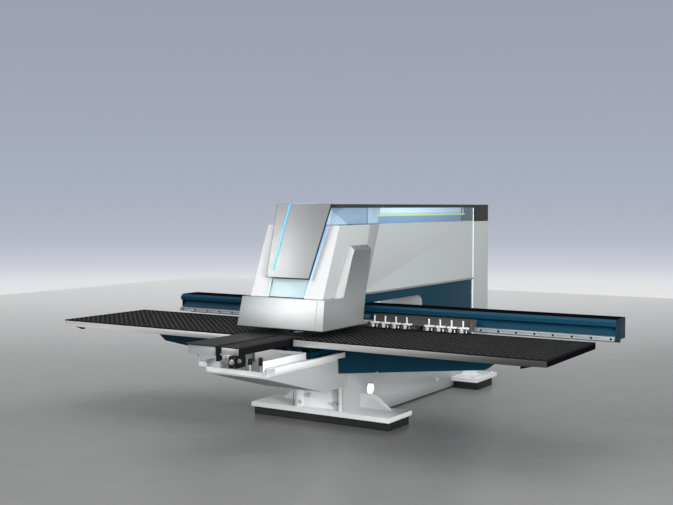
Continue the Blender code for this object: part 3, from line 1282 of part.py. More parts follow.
def build_rail(finish, seats):
    """Builds the transverse rail with its end plates and guide, and the two bolt strips."""
    carrier = seats["x_axis"]
    rail = add_part("x_rail", prism_x(rail_section(), RAIL_LEFT, RAIL_RIGHT), finish["blue"], carrier)
    for start, end in ((RAIL_LEFT, RAIL_LEFT + CAP_THICK), (RAIL_RIGHT - CAP_THICK, RAIL_RIGHT)):
        low = (start, RAIL_FRONT + EDGE, RAIL_BOTTOM + EDGE)
        carve(rail, box(low, (end, RAIL_BACK - EDGE, RAIL_TOP - EDGE)), "UNION")
    half = X_RAIL_WIDTH / 2
    start = RAIL_LEFT + CAP_THICK
    end = RAIL_RIGHT - CAP_THICK
    low = (start, X_RAIL_Y - half, X_RAIL_BOTTOM)
    carve(rail, box(low, (end, X_RAIL_Y + half, RAIL_BOTTOM + EDGE)), "UNION")
    spans = {"left": (start, MAGAZINE_LEFT - GAP), "right": (MAGAZINE_RIGHT + GAP, end)}
    count = int((end - BOLT_FIRST) / BOLT_PITCH) + 1
    for label, (near, far) in spans.items():
        high = (far, RAIL_FRONT - GAP, STRIP_TOP)
        strip = add_part("rail_strip_" + label, box((near, STRIP_FRONT, RAIL_BOTTOM), high), finish["aluminium"],
                         carrier)
        holes = bmesh.new()
        for index in range(count):
            x = BOLT_FIRST + BOLT_PITCH * index
            if near + BOLT_RADIUS * 2 < x < far - BOLT_RADIUS * 2:
                front = STRIP_FRONT - OVERRUN
                rod_y((x, BOLT_Z), BOLT_RADIUS, front, STRIP_FRONT + BOLT_DEPTH, SMALL_SIDES, holes)
        carve(strip, holes)


def build_magazine(finish, seats):
    """Builds the straight tool magazine and its eight tool cassettes."""
    carrier = seats["x_axis"]
    back = RAIL_FRONT - GAP
    section = [
        (MAGAZINE_FRONT, RAIL_BOTTOM),
        (back, RAIL_BOTTOM),
        (back, RAIL_STEP_Z),
        (RAIL_RECESS - GAP * 2, RAIL_RECESS_Z),
        (RAIL_RECESS - MAGAZINE_LINING, RAIL_RECESS_Z),
        (back - MAGAZINE_LINING, MAGAZINE_TOP),
        (MAGAZINE_FRONT, MAGAZINE_TOP),
    ]
    body = add_part("tool_magazine", prism_x(section, MAGAZINE_LEFT, MAGAZINE_RIGHT), finish["brown"], carrier)
    low = (MAGAZINE_RIGHT - BRACKET_THICK, MAGAZINE_FRONT, RAIL_BOTTOM + EDGE)
    carve(body, box(low, (MAGAZINE_RIGHT, back - EDGE, BRACKET_TOP)), "UNION")
    for index in range(STATIONS_PER_GROUP * 2):
        group, place = divmod(index, STATIONS_PER_GROUP)
        x = STATION_FIRST + GROUP_PITCH * group + STATION_PITCH * place
        build_cassette("tool_cassette_" + str(index + 1), x, finish, carrier)


def build_cassette(name, x, finish, carrier):
    """Builds one tool cassette: its shoe, tool, arm and two pins."""
    half = CASSETTE_WIDTH / 2
    low = (x - half, CASSETTE_FRONT, CASSETTE_BOTTOM)
    seat = Vector((x, MAGAZINE_FRONT, CASSETTE_BOTTOM))
    shoe = box(low, (x + half, MAGAZINE_FRONT - GAP, CASSETTE_TOP))
    part = add_part(name, shoe, finish["white"], carrier, True, seat)
    middle = CASSETTE_FRONT + TOOL_RADIUS
    carve(part, rod_z((x, middle), TOOL_RADIUS, TOOL_BOTTOM, TOOL_TOP, SMALL_SIDES * 2), "UNION")
    low = (x - TOOL_RADIUS, middle - ARM_WIDTH / 2, ARM_BOTTOM)
    carve(part, box(low, (x - TOOL_RADIUS + ARM_LENGTH, middle + ARM_WIDTH / 2, ARM_TOP)), "UNION")
    carve(part, rod_z((x, PIN_Y), PIN_RADIUS, CASSETTE_TOP - EDGE * 2, PIN_TOP, SMALL_SIDES), "UNION")
    shifted = x + SECOND_PIN_SHIFT
    pin = rod_z((shifted, middle), PIN_RADIUS, CASSETTE_BOTTOM, ARM_BOTTOM + EDGE, SMALL_SIDES)
    carve(part, pin, "UNION")


def build_clamps(finish, seats):
    """Builds the two sheet clamps with their hinged upper jaws."""
    for index, (x, back) in enumerate(zip(CLAMP_X, CLAMP_BACK)):
        label = ("left", "right")[index]
        back -= GAP
        front = back - CLAMP_LENGTH
        body = box((x - CLAMP_HALF, front, CLAMP_BOTTOM), (x + CLAMP_HALF, back, CLAMP_TOP))
        part = add_part("clamp_body_" + label, body, finish["iron"], seats["x_axis"])
        inner = CLAMP_HALF - CLAMP_SIDE
        mouth_back = front + CLAMP_MOUTH
        low = (x - inner, front - OVERRUN, CLAMP_BOTTOM + CLAMP_LIP)
        carve(part, box(low, (x + inner, mouth_back, CLAMP_TOP + OVERRUN)))
        low = (x - CLAMP_HALF - OVERRUN, front - OVERRUN, CLAMP_BOTTOM + CLAMP_LIP)
        carve(part, box(low, (x + CLAMP_HALF + OVERRUN, front + CLAMP_MOUTH / 2, CLAMP_TOP + OVERRUN)))
        centre = (mouth_back - CLAMP_SIDE * 2, JAW_PIN_Z)
        hole = JAW_PIN_RADIUS + GAP
        ends = (x - CLAMP_HALF - OVERRUN, x + CLAMP_HALF + OVERRUN)
        carve(part, rod_x(centre, hole, *ends, SMALL_SIDES * 2))
        jaw_bottom = CLAMP_BOTTOM + CLAMP_LIP + JAW_GAP
        jaw_back = mouth_back - CLAMP_SIDE
        half = inner - GAP * 3
        outline = [
            (front, jaw_bottom),
            (jaw_back, jaw_bottom),
            (jaw_back, JAW_TOP - JAW_GAP),
            (front + CLAMP_MOUTH / 2, JAW_TOP),
            (front, jaw_bottom + JAW_GAP * 2),
        ]
        seat = seats["jaws"][index]
        jaw = add_part("clamp_jaw_" + label, prism_x(outline, x - half, x + half), finish["iron"], seat)
        end = CLAMP_HALF - GAP
        carve(jaw, rod_x(centre, JAW_PIN_RADIUS, x - end, x + end, SMALL_SIDES), "UNION")


def make_finishes():
    """Returns the materials by name."""
    return {
        "white": make_finish("white_paint", (0.80, 0.81, 0.82), 0.38),
        "grey": make_finish("light_grey_paint", (0.76, 0.78, 0.78), 0.42),
        "silver": make_finish("silver_lacquer", (0.66, 0.68, 0.68), 0.36, 0.4),
        "blue": make_finish("deep_blue_paint", (0.012, 0.078, 0.145), 0.30),
        "dark": make_finish("anthracite", (0.045, 0.047, 0.048), 0.45),
        "brush": make_finish("black_brush", (0.035, 0.036, 0.037), 0.90),
        "rubber": make_finish("black_rubber", (0.014, 0.016, 0.017), 0.80),
        "steel": make_finish("ground_steel", (0.55, 0.56, 0.57), 0.25, 1.0),
        "iron": make_finish("dark_iron", (0.09, 0.09, 0.09), 0.50, 0.8),
        "aluminium": make_finish("anodised_aluminium", (0.42, 0.43, 0.43), 0.35, 0.9),
        "brown": make_finish("brown_grey_lining", (0.12, 0.10, 0.085), 0.60),
        "glass": make_finish("blue_glass", (0.45, 0.60, 0.72), 0.08, 0.0, 0.4),
        "lamp": make_finish("yellow_green_lamp", (0.62, 0.75, 0.22), 0.30),
        "cyan": make_finish("cyan_light", (0.15, 0.62, 0.80), 0.30),
    }


def make_seats():
    """Returns the empties that stand on the joints' axes."""
    seats = {"frame": add_seat("seat_frame", Vector((0.0, 0.0, 0.0)))}
    seats["ram"] = add_seat("seat_ram", RAM_SEAT, seats["frame"])
    seats["punch_turn"] = add_seat("seat_punch_turn", RAM_SEAT, seats["ram"])
    seats["die_turn"] = add_seat("seat_die_turn", DIE_SEAT, seats["frame"])
    seats["flap"] = add_seat("seat_flap", FLAP_SEAT, seats["frame"])
    seats["y_axis"] = add_seat("seat_y_axis", Y_SEAT, seats["frame"])
    seats["x_axis"] = add_seat("seat_x_axis", X_SEAT, seats["y_axis"])
    jaws = []
    for x, back in zip(CLAMP_X, CLAMP_BACK):
        pin_y = back - GAP - CLAMP_LENGTH + CLAMP_MOUTH - CLAMP_SIDE * 2
        jaws.append(add_seat("seat_jaw", Vector((x, pin_y, JAW_PIN_Z)), seats["x_axis"]))
    seats["jaws"] = jaws
    return seats


def main():
    """Builds the whole machine."""
    clear_scene()
    finish = make_finishes()
    seats = make_seats()
    build_feet(finish)
    build_frame(finish)
    build_covers(finish)
    build_column(finish)
    build_glazing(finish)
    build_head_shell(finish)
    build_hood(finish)
    build_head_front(finish)
    build_punching_head(finish, seats)
    build_die_station(finish, seats)
    build_housing(finish)
    build_tray(finish)
    build_middle_table(finish, seats)
    build_cross_beams(finish, seats)
    build_tables(finish, seats)
    build_rail(finish, seats)
    build_magazine(finish, seats)
    build_clamps(finish, seats)


main()
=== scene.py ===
"""Visual model of a single-head CNC punching machine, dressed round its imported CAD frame.

Metres. X runs along the transverse rail, Y from the operator to the column, Z up.
Each sub-assembly is a class: its fields are its sizes, and build() makes and dresses its pieces.
"""

import json
import logging
import math
from dataclasses import dataclass, replace
from enum import Enum
from functools import cache
from typing import Callable, Optional, Sequence

import bmesh
import bpy
from mathutils import Euler, Matrix, Vector


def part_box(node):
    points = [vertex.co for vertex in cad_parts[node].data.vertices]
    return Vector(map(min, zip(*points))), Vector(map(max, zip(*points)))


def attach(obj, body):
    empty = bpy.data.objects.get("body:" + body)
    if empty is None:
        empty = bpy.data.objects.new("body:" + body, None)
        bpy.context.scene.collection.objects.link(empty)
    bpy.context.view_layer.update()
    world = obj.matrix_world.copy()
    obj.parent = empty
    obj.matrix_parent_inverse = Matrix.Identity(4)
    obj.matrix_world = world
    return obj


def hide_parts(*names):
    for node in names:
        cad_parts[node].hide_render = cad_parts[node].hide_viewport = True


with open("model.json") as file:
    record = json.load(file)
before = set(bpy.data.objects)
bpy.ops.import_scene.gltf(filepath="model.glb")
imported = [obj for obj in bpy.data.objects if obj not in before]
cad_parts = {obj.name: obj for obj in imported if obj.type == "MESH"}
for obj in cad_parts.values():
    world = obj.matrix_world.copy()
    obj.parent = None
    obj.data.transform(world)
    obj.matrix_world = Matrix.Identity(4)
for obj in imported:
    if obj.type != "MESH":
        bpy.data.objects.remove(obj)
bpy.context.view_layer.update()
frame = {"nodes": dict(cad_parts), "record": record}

LOG = logging.getLogger("punching_machine")
MERGE = 2e-5
FLAT = math.radians(0.5)
SHARP = math.radians(38.0)
CORNER = math.radians(40.0)
HAIR = 0.0004
PUNCH_Y = -0.563
TUBE_CENTRE = (0.325, 0.287)
GUSSET_HEIGHT = 0.146
CORNER_X, CORNER_Y, CORNER_SLOPE = -0.40, -0.37, 0.088

FLOAT, VECTOR, COLOUR = "NodeSocketFloat", "NodeSocketVector", "NodeSocketColor"

Colour = tuple[float, float, float]
Point = tuple[float, float, float]
Flat = tuple[float, float]
Chooser = Callable[[Vector, Vector], int]

BODY_OF: dict[str, str] = {
    node: body for body, nodes in frame["record"]["behaviour"]["bodies"].items() for node in nodes
}
SIDES: dict[str, int] = {"left": -1, "right": 1}


class Axis(Enum):
    """The three directions that shapes are drawn along."""

    X = 0
    Y = 1
    Z = 2

    @property
    def vector(self) -> Vector:
        """The unit vector."""
        return Vector([1.0 if index == self.value else 0.0 for index in range(3)])

    @property
    def turn(self) -> Matrix:
        """The rotation that lays a Z cylinder along this axis."""
        return Vector((0.0, 0.0, 1.0)).rotation_difference(self.vector).to_matrix().to_4x4()

    def lift(self, point: Flat, along: float) -> Vector:
        """Places a drawn point in space.

        Args:
            point: the two coordinates across the axis, in x, y, z order.
            along: the coordinate on the axis.

        Returns:
            The point in space.
        """
        place = list(point)
        place.insert(self.value, along)
        return Vector(place)


class Grain(Enum):
    """What a finish feels like: the stretch of its fine noise along x, y and z."""

    PEEL = (1.0, 1.0, 1.0)
    ALONG_X = (0.02, 1.0, 1.0)
    ALONG_Y = (1.0, 0.02, 1.0)
    ALONG_Z = (1.0, 1.0, 0.02)


class Graph:
    """Writes nodes into one node tree."""

    def __init__(self, tree: bpy.types.NodeTree) -> None:
        """Takes the tree and empties it."""
        self.tree = tree
        tree.nodes.clear()

    def add(self, kind: str, inputs: Optional[dict] = None, **settings: object) -> bpy.types.Node:
        """Adds a node.

        Args:
            kind: the node's type name.
            inputs: socket name or number to a value, or to the socket that feeds it.
            settings: the node's own properties.

        Returns:
            The node.
        """
        node = self.tree.nodes.new(kind)
        for name, value in settings.items():
            setattr(node, name, value)
        for key, value in (inputs or {}).items():
            if isinstance(value, bpy.types.NodeSocket):
                self.tree.links.new(value, node.inputs[key])
            else:
                node.inputs[key].default_value = value
        return node

    def group(self, tree: bpy.types.NodeTree, inputs: dict) -> bpy.types.Node:
        """Adds a node group with its inputs."""
        return self.add("ShaderNodeGroup", inputs, node_tree=tree)

    def math(self, operation: str, first: object, second: object = 0.0,
             clamp: bool = False) -> bpy.types.NodeSocket:
        """Returns the result of a Math node."""
        node = self.add("ShaderNodeMath", {0: first, 1: second}, operation=operation, use_clamp=clamp)
        return node.outputs[0]

    def tint(self, colour: object, level: object) -> bpy.types.NodeSocket:
        """Returns a colour made brighter or darker by a level."""
        even = self.add("ShaderNodeCombineColor", {0: level, 1: level, 2: level}).outputs[0]
        return self.mix(1.0, colour, even, "MULTIPLY")

    def mix(self, factor: object, first: object, second: object, blend: str = "MIX") -> bpy.types.NodeSocket:
        """Returns the result of a colour Mix node."""
        node = self.add("ShaderNodeMix", {0: factor, 6: first, 7: second}, data_type="RGBA", blend_type=blend)
        return node.outputs[2]

    def span(self, value: object, low: float, high: float, to_low: object = 0.0, to_high: object = 1.0,
             smooth: bool = False) -> bpy.types.NodeSocket:
        """Returns a value carried from one range to another, clamped.

        Args:
            value: the socket or number that is carried over.
            low: the start of the first range.
            high: its end.
            to_low: the start of the second range.
            to_high: its end.
            smooth: whether the change starts and ends softly.

        Returns:
            The node's result.
        """
        kind = "SMOOTHSTEP" if smooth else "LINEAR"
        node = self.add("ShaderNodeMapRange", {0: value, 1: low, 2: high, 3: to_low, 4: to_high},
                        interpolation_type=kind)
        return node.outputs[0]

    @staticmethod
    def stops(ramp: bpy.types.Node, points: Sequence[tuple[float, Colour]]) -> None:
        """Sets a colour ramp's stops.

        Args:
            ramp: the colour ramp's node.
            points: the stops, each with its position and colour.
        """
        elements = ramp.color_ramp.elements
        while len(elements) < len(points):
            elements.new(0.5)
        for element, (position, colour) in zip(elements, points):
            element.position, element.color = position, (*colour, 1.0)

    def noise(self, vector: object, scale: object, detail: float = 2.0) -> bpy.types.NodeSocket:
        """Returns the value of a Noise Texture."""
        return self.add("ShaderNodeTexNoise", {"Vector": vector, "Scale": scale, "Detail": detail}).outputs[0]


def new_material(name: str) -> tuple[bpy.types.Material, Graph]:
    """Makes an empty node material and returns it with its graph.

    Args:
        name: the material's name.

    Returns:
        The material and its graph.
    """
    material = bpy.data.materials.new(name)
    material.use_nodes = True
    return material, Graph(material.node_tree)


def link(name: str, data: object) -> bpy.types.Object:
    """Puts a new object into the scene.

    Args:
        name: the object's name.
        data: the mesh, light or camera it shows.

    Returns:
        The object.
    """
    item = bpy.data.objects.new(name, data)
    bpy.context.scene.collection.objects.link(item)
    return item


def rgba(colour: Colour, alpha: float = 1.0) -> tuple[float, float, float, float]:
    """Returns a colour with its alpha."""
    return (*colour, alpha)


def between(value: float, ends: Flat, results: Flat) -> float:
    """Returns where a value falls on a straight line between two results."""
    share = (value - ends[0]) / (ends[1] - ends[0])
    return results[0] + (results[1] - results[0]) * share


def new_group(name: str, inputs: dict[str, tuple[str, object]],
              outputs: dict[str, str]) -> tuple[Graph, bpy.types.NodeOutputs]:
    """Starts a node group with its named sockets.

    Args:
        name: the group's name.
        inputs: socket name to its type and default value.
        outputs: socket name to its type.

    Returns:
        The graph to draw in and the sockets that bring the inputs.
    """
    tree = bpy.data.node_groups.new(name, "ShaderNodeTree")
    for label, (kind, value) in inputs.items():
        socket = tree.interface.new_socket(name=label, in_out="INPUT", socket_type=kind)
        socket.default_value = value
    for label, kind in outputs.items():
        tree.interface.new_socket(name=label, in_out="OUTPUT", socket_type=kind)
    graph = Graph(tree)
    return graph, graph.add("NodeGroupInput").outputs


class Effects:
    """Node groups that more than one finish uses, each built once."""

    @staticmethod
    @cache
    def tone() -> bpy.types.NodeTree:
        """Draws the group that lets a colour drift slightly over a large surface.

        Returns:
            The node group.
        """
        graph, given = new_group("Tone drift", {
            "Vector": (VECTOR, (0.0, 0.0, 0.0)), "Colour": (COLOUR, rgba((0.5, 0.5, 0.5))),
            "Amount": (FLOAT, 0.05), "Scale": (FLOAT, 1.5),
        }, {"Colour": COLOUR, "Smudge": FLOAT})
        broad = graph.noise(given["Vector"], given["Scale"], 3.0)
        fine = graph.noise(given["Vector"], graph.math("MULTIPLY", given["Scale"], 14.0), 4.0)
        both = graph.math("ADD", graph.math("MULTIPLY", broad, 0.7), graph.math("MULTIPLY", fine, 0.3))
        swing = graph.math("MULTIPLY", graph.math("SUBTRACT", both, 0.5), given["Amount"])
        level = graph.math("ADD", graph.math("MULTIPLY", swing, 2.0), 1.0)
        colour = graph.tint(given["Colour"], level)
        graph.add("NodeGroupOutput", {"Colour": colour, "Smudge": graph.span(fine, 0.45, 0.75)})
        return graph.tree

    @staticmethod
    @cache
    def edge() -> bpy.types.NodeTree:
        """Draws the group that finds rubbed edges.

        Returns:
            The node group.
        """
        graph, given = new_group("Edge rub", {
            "Vector": (VECTOR, (0.0, 0.0, 0.0)), "Radius": (FLOAT, 0.003), "Amount": (FLOAT, 0.5),
        }, {"Mask": FLOAT})
        rounded = graph.add("ShaderNodeBevel", {"Radius": given["Radius"]}, samples=3)
        true = graph.add("ShaderNodeNewGeometry")
        across = graph.add("ShaderNodeVectorMath", {0: rounded.outputs[0], 1: true.outputs["Normal"]},
                           operation="DOT_PRODUCT").outputs["Value"]
        edge = graph.span(across, 0.995, 0.86)
        broken = graph.span(graph.noise(given["Vector"], 38.0, 4.0), 0.42, 0.62)
        rubbed = graph.math("MULTIPLY", edge, broken)
        graph.add("NodeGroupOutput", {"Mask": graph.math("MULTIPLY", rubbed, given["Amount"], True)})
        return graph.tree

    @staticmethod
    @cache
    def grain() -> bpy.types.NodeTree:
        """Draws the group for the fine relief of paint, brushed metal and moulded plastic.

        Returns:
            The node group.
        """
        graph, given = new_group("Fine relief", {
            "Vector": (VECTOR, (0.0, 0.0, 0.0)), "Stretch": (VECTOR, (1.0, 1.0, 1.0)),
            "Scale": (FLOAT, 300.0),
        }, {"Height": FLOAT})
        drawn = graph.add("ShaderNodeVectorMath", {0: given["Vector"], 1: given["Stretch"]},
                          operation="MULTIPLY").outputs[0]
        graph.add("NodeGroupOutput", {"Height": graph.noise(drawn, given["Scale"], 3.0)})
        return graph.tree

    @staticmethod
    @cache
    def dust() -> bpy.types.NodeTree:
        """Draws the group for the thin dust on faces that look up.

        Returns:
            The node group.
        """
        graph, given = new_group("Settled dust", {
            "Vector": (VECTOR, (0.0, 0.0, 0.0)), "Colour": (COLOUR, rgba((0.5, 0.5, 0.5))),
            "Amount": (FLOAT, 0.1),
        }, {"Colour": COLOUR})
        normal = graph.add("ShaderNodeNewGeometry").outputs["Normal"]
        upward = graph.span(graph.add("ShaderNodeSeparateXYZ", {0: normal}).outputs["Z"], 0.6, 1.0)
        patchy = graph.span(graph.noise(given["Vector"], 5.0, 5.0), 0.35, 0.7)
        settled = graph.math("MULTIPLY", upward, patchy)
        cover = graph.math("MULTIPLY", settled, given["Amount"], True)
        colour = graph.mix(cover, given["Colour"], rgba((0.42, 0.41, 0.39)))
        graph.add("NodeGroupOutput", {"Colour": colour})
        return graph.tree


@dataclass(frozen=True)
class LightSweep:
    """A painted gradient of light and shade, changing the tone from one end of a large surface to the other.
    """

    axis: Axis
    start: float
    end: float
    first: float
    last: float

    def apply(self, graph: Graph, place: object, colour: object) -> bpy.types.NodeSocket:
        """Returns the colour with the painted light and shade.

        Args:
            graph: the material's graph.
            place: the socket with the position.
            colour: the socket with the colour.

        Returns:
            The changed colour's socket.
        """
        along = graph.add("ShaderNodeSeparateXYZ", {0: place}).outputs[self.axis.value]
        level = graph.span(along, self.start, self.end, self.first, self.last, True)
        return graph.tint(colour, level)


@dataclass(frozen=True)
class Surface:
    """What every finish has: a name, the record's slot and a material that is built once."""

    name: str
    slot: str

    def material(self) -> bpy.types.Material:
        """Builds the material the first time it is asked for.

        Returns:
            The material.
        """
        found = bpy.data.materials.get(self.name)
        if found is None:
            found, graph = new_material(self.name)
            place = graph.add("ShaderNodeTexCoord").outputs["Object"]
            shader = graph.add("ShaderNodeBsdfPrincipled", self.shade(graph, place))
            graph.add("ShaderNodeOutputMaterial", {0: shader.outputs[0]})
        return found

    def shade(self, graph: Graph, place: bpy.types.NodeSocket) -> dict[str, object]:
        """Draws the finish, and gives the shader's inputs; each kind of finish has its own."""
        raise NotImplementedError


@dataclass(frozen=True)
class Finish(Surface):
    """A solid finish: paint, metal, plastic or rubber, with its drift, relief, rubbed edges and dust; some
    add a painted gradient of light.
    """

    colour: Colour
    roughness: float = 0.35
    metallic: float = 0.0
    coat: float = 0.0
    drift: float = 0.04
    drift_scale: float = 1.5
    grain: Grain = Grain.PEEL
    grain_scale: float = 320.0
    relief: float = 0.04
    rub: float = 0.25
    rub_colour: Colour = (0.55, 0.55, 0.54)
    rub_width: float = 0.002
    dust: float = 0.05
    smudge: float = 0.06
    specular: float = 0.5
    light_sweep: Optional[LightSweep] = None

    def shade(self, graph: Graph, place: bpy.types.NodeSocket) -> dict[str, object]:
        """Draws the drift, the rubbed edges, the dust and the relief, and any painted gradient of light and
        shade.

        Args:
            graph: the material's graph.
            place: the socket with the position.

        Returns:
            The shader's inputs.
        """
        colour = rgba(self.colour)
        tone = graph.group(Effects.tone(), {"Vector": place, "Colour": colour, "Amount": self.drift,
                                            "Scale": self.drift_scale})
        edge = graph.group(Effects.edge(), {"Vector": place, "Radius": self.rub_width, "Amount": self.rub})
        worn = graph.mix(edge.outputs["Mask"], tone.outputs["Colour"], rgba(self.rub_colour))
        dusty = graph.group(Effects.dust(), {"Vector": place, "Colour": worn, "Amount": self.dust})
        base = dusty.outputs["Colour"]
        # Painted light and shade along the surface, where the finish has a gradient.
        if self.light_sweep:
            base = self.light_sweep.apply(graph, place, base)
        relief = graph.group(Effects.grain(), {"Vector": place, "Stretch": self.grain.value,
                                               "Scale": self.grain_scale})
        bump = graph.add("ShaderNodeBump", {"Height": relief.outputs["Height"], "Strength": self.relief,
                                            "Distance": 0.001})
        rough = graph.math("ADD", graph.math("MULTIPLY", tone.outputs["Smudge"], self.smudge), self.roughness)
        return {"Base Color": base, "Metallic": self.metallic, "Roughness": rough,
                "Normal": bump.outputs[0], "Coat Weight": self.coat, "Coat Roughness": 0.12,
                "Specular IOR Level": self.specular}


@dataclass(frozen=True)
class Glow(Surface):
    """A lit plastic or liner, whose light changes with height and fades along its length."""

    low: Colour
    high: Colour
    low_z: float
    high_z: float
    strength: float = 1.0
    centre_y: float = 0.0
    fade: float = 100.0
    dim: float = 1.0

    def shade(self, graph: Graph, place: bpy.types.NodeSocket) -> dict[str, object]:
        """Draws the light's change over the height and the length.

        Args:
            graph: the material's graph.
            place: the socket with the position.

        Returns:
            The shader's inputs.
        """
        parts = graph.add("ShaderNodeSeparateXYZ", {0: place})
        height = graph.span(parts.outputs["Z"], self.low_z, self.high_z, smooth=True)
        colour = graph.mix(height, rgba(self.low), rgba(self.high))
        away = graph.math("ABSOLUTE", graph.math("SUBTRACT", parts.outputs["Y"], self.centre_y))
        level = graph.span(away, 0.0, self.fade, 1.0, self.dim, True)
        cloud = graph.span(graph.noise(place, 3.0, 2.0), 0.2, 0.8, 0.94, 1.04)
        level = graph.math("MULTIPLY", level, cloud)
        light = graph.tint(colour, level)
        return {"Base Color": colour, "Roughness": 0.3, "Emission Color": light,
                "Emission Strength": self.strength}


@dataclass(frozen=True)
class Pane(Surface):
    """Tinted glazing with clean, slightly wavy glass, and a weak emission that paints light into it."""

    colour: Colour
    alpha: float
    painted_glow: float = 0.0
    drift: float = 0.03
    drift_scale: float = 0.8

    def shade(self, graph: Graph, place: bpy.types.NodeSocket) -> dict[str, object]:
        """Draws the tint, the glass's faint waves and the painted light.

        Args:
            graph: the material's graph.
            place: the socket with the position.

        Returns:
            The shader's inputs.
        """
        colour = rgba(self.colour)
        tone = graph.group(Effects.tone(), {"Vector": place, "Colour": colour, "Amount": self.drift,
                                            "Scale": self.drift_scale})
        bump = graph.add("ShaderNodeBump", {"Height": graph.noise(place, 2.5, 1.0), "Strength": 0.02,
                                            "Distance": 0.01})
        return {"Base Color": tone.outputs["Colour"], "Roughness": 0.06, "Alpha": self.alpha, "IOR": 1.45,
                "Normal": bump.outputs[0], "Emission Color": tone.outputs["Colour"],
                "Emission Strength": self.painted_glow}


WHITE = Finish("satin white lacquer", "white_paint", (0.84, 0.85, 0.86), 0.38, coat=0.1)
# Grey paint on the covers; on the head shell's flanks the same grey is painted shade.
GREY = Finish("light grey lacquer", "light_grey_paint", (0.49, 0.515, 0.515), 0.42)
# A darker grey, painted as shade on the head shell's rear bevels.
SHELL_PAINTED_SHADE = Finish("mid grey painted shade", "light_grey_paint", (0.35, 0.368, 0.368), 0.45)
SHELL = Finish("pale grey-white lacquer", "white_paint", (0.66, 0.665, 0.67), 0.40, coat=0.05)
# The silver's gradient paints a reflection, brighter towards the right.
SILVER = Finish("silver metallic lacquer", "silver_lacquer", (0.39, 0.404, 0.404), 0.40, 0.75, coat=0.05,
                grain_scale=900.0, light_sweep=LightSweep(Axis.X, -0.5, 0.5, 0.78, 1.22))
# Silver for the hood's flanks and ear tops, with painted shade that darkens it towards the top.
SILVER_FLANK_SHADE = Finish("silver lacquer with painted flank shade", "silver_lacquer", (0.40, 0.415, 0.415), 0.42, 0.6, coat=0.05,
               grain_scale=900.0, light_sweep=LightSweep(Axis.Z, 1.0, 1.76, 1.25, 0.62))
# Pale silver: the tools' own colour, and a painted highlight on the hood ears' front slopes.
PALE_SILVER_AND_HIGHLIGHT = Finish("pale silver lacquer and painted highlight", "silver_lacquer", (0.60, 0.625, 0.62), 0.40, 0.2, coat=0.05)
# The panel's gradient paints light and shade: darker at the top, brighter towards the foot.
PANEL = Finish("brushed silver panel", "silver_lacquer", (0.31, 0.32, 0.32), 0.40, 0.6, coat=0.05,
               grain=Grain.ALONG_Z, grain_scale=700.0, light_sweep=LightSweep(Axis.Z, 2.18, 1.48, 0.80, 1.22))
BLUE = Finish("deep blue lacquer", "deep_blue_paint", (0.004, 0.044, 0.078), 0.42,
              rub_colour=(0.05, 0.10, 0.14), dust=0.0, smudge=0.03, specular=0.10)
# A darker blue, painted as shade on the rail's faces that look to the right.
BLUE_PAINTED_SHADE = replace(BLUE, name="deep blue painted shade", colour=(0.002, 0.020, 0.034))
ANTHRACITE = Finish("anthracite lacquer", "anthracite", (0.036, 0.039, 0.040), 0.5,
                    rub_colour=(0.12, 0.12, 0.12), specular=0.2)
DARK = Finish("dark table lacquer", "anthracite", (0.018, 0.019, 0.019), 0.5, rub_colour=(0.08, 0.08, 0.08),
              dust=0.03, specular=0.12)
TOP_BLACK = Finish("matt black cover", "anthracite", (0.004, 0.004, 0.005), 0.8, relief=0.05, rub=0.0,
                   dust=0.0, specular=0.0)
BLACK = Finish("black moulding", "anthracite", (0.008, 0.008, 0.009), 0.6, relief=0.1,
               rub_colour=(0.04, 0.04, 0.04), dust=0.0, specular=0.08)
BRISTLE = Finish("nylon bristle", "black_brush", (0.040, 0.041, 0.042), 0.7, drift=0.25, drift_scale=40.0,
                 grain=Grain.ALONG_Z, grain_scale=2400.0, relief=0.6, rub=0.0, dust=0.06, specular=0.15)
BRUSH_BED = Finish("brush bed", "black_brush", (0.010, 0.010, 0.011), 0.8, relief=0.2, rub=0.0, dust=0.0,
                   specular=0.08)
RUBBER = Finish("matt black rubber", "black_rubber", (0.016, 0.018, 0.018), 0.75, relief=0.25, rub=0.1,
                rub_colour=(0.05, 0.05, 0.05), dust=0.2)
STEEL = Finish("ground steel", "ground_steel", (0.62, 0.62, 0.62), 0.24, 1.0, drift=0.06, grain=Grain.ALONG_Y,
               grain_scale=900.0, relief=0.08, rub=0.1)
BRIGHT = Finish("turned steel", "ground_steel", (0.72, 0.72, 0.71), 0.18, 1.0, drift=0.05,
                grain=Grain.ALONG_X, grain_scale=1400.0, relief=0.06, rub=0.1)
# Blackened iron; in the frame's front pocket it also paints two shadow lines.
IRON = Finish("blackened iron", "dark_iron", (0.035, 0.035, 0.036), 0.45, 0.5, drift=0.12, drift_scale=9.0,
              relief=0.15, rub=0.5, rub_colour=(0.25, 0.25, 0.25))
# The aluminium's gradient paints a reflection, bright at the left and dark at the right.
ALUMINIUM = Finish("natural anodised aluminium", "anodised_aluminium", (0.46, 0.46, 0.45), 0.32, 0.7,
                   drift=0.08, grain=Grain.ALONG_X, grain_scale=900.0, relief=0.1,
                   light_sweep=LightSweep(Axis.X, -2.6, 2.4, 1.75, 0.36))
# Pale anodised strips; on the head panel's foot the same finish paints a highlight.
STRIP = Finish("pale anodised strip", "anodised_aluminium", (0.35, 0.385, 0.40), 0.38, 0.3,
               grain=Grain.ALONG_X, grain_scale=900.0, relief=0.06)
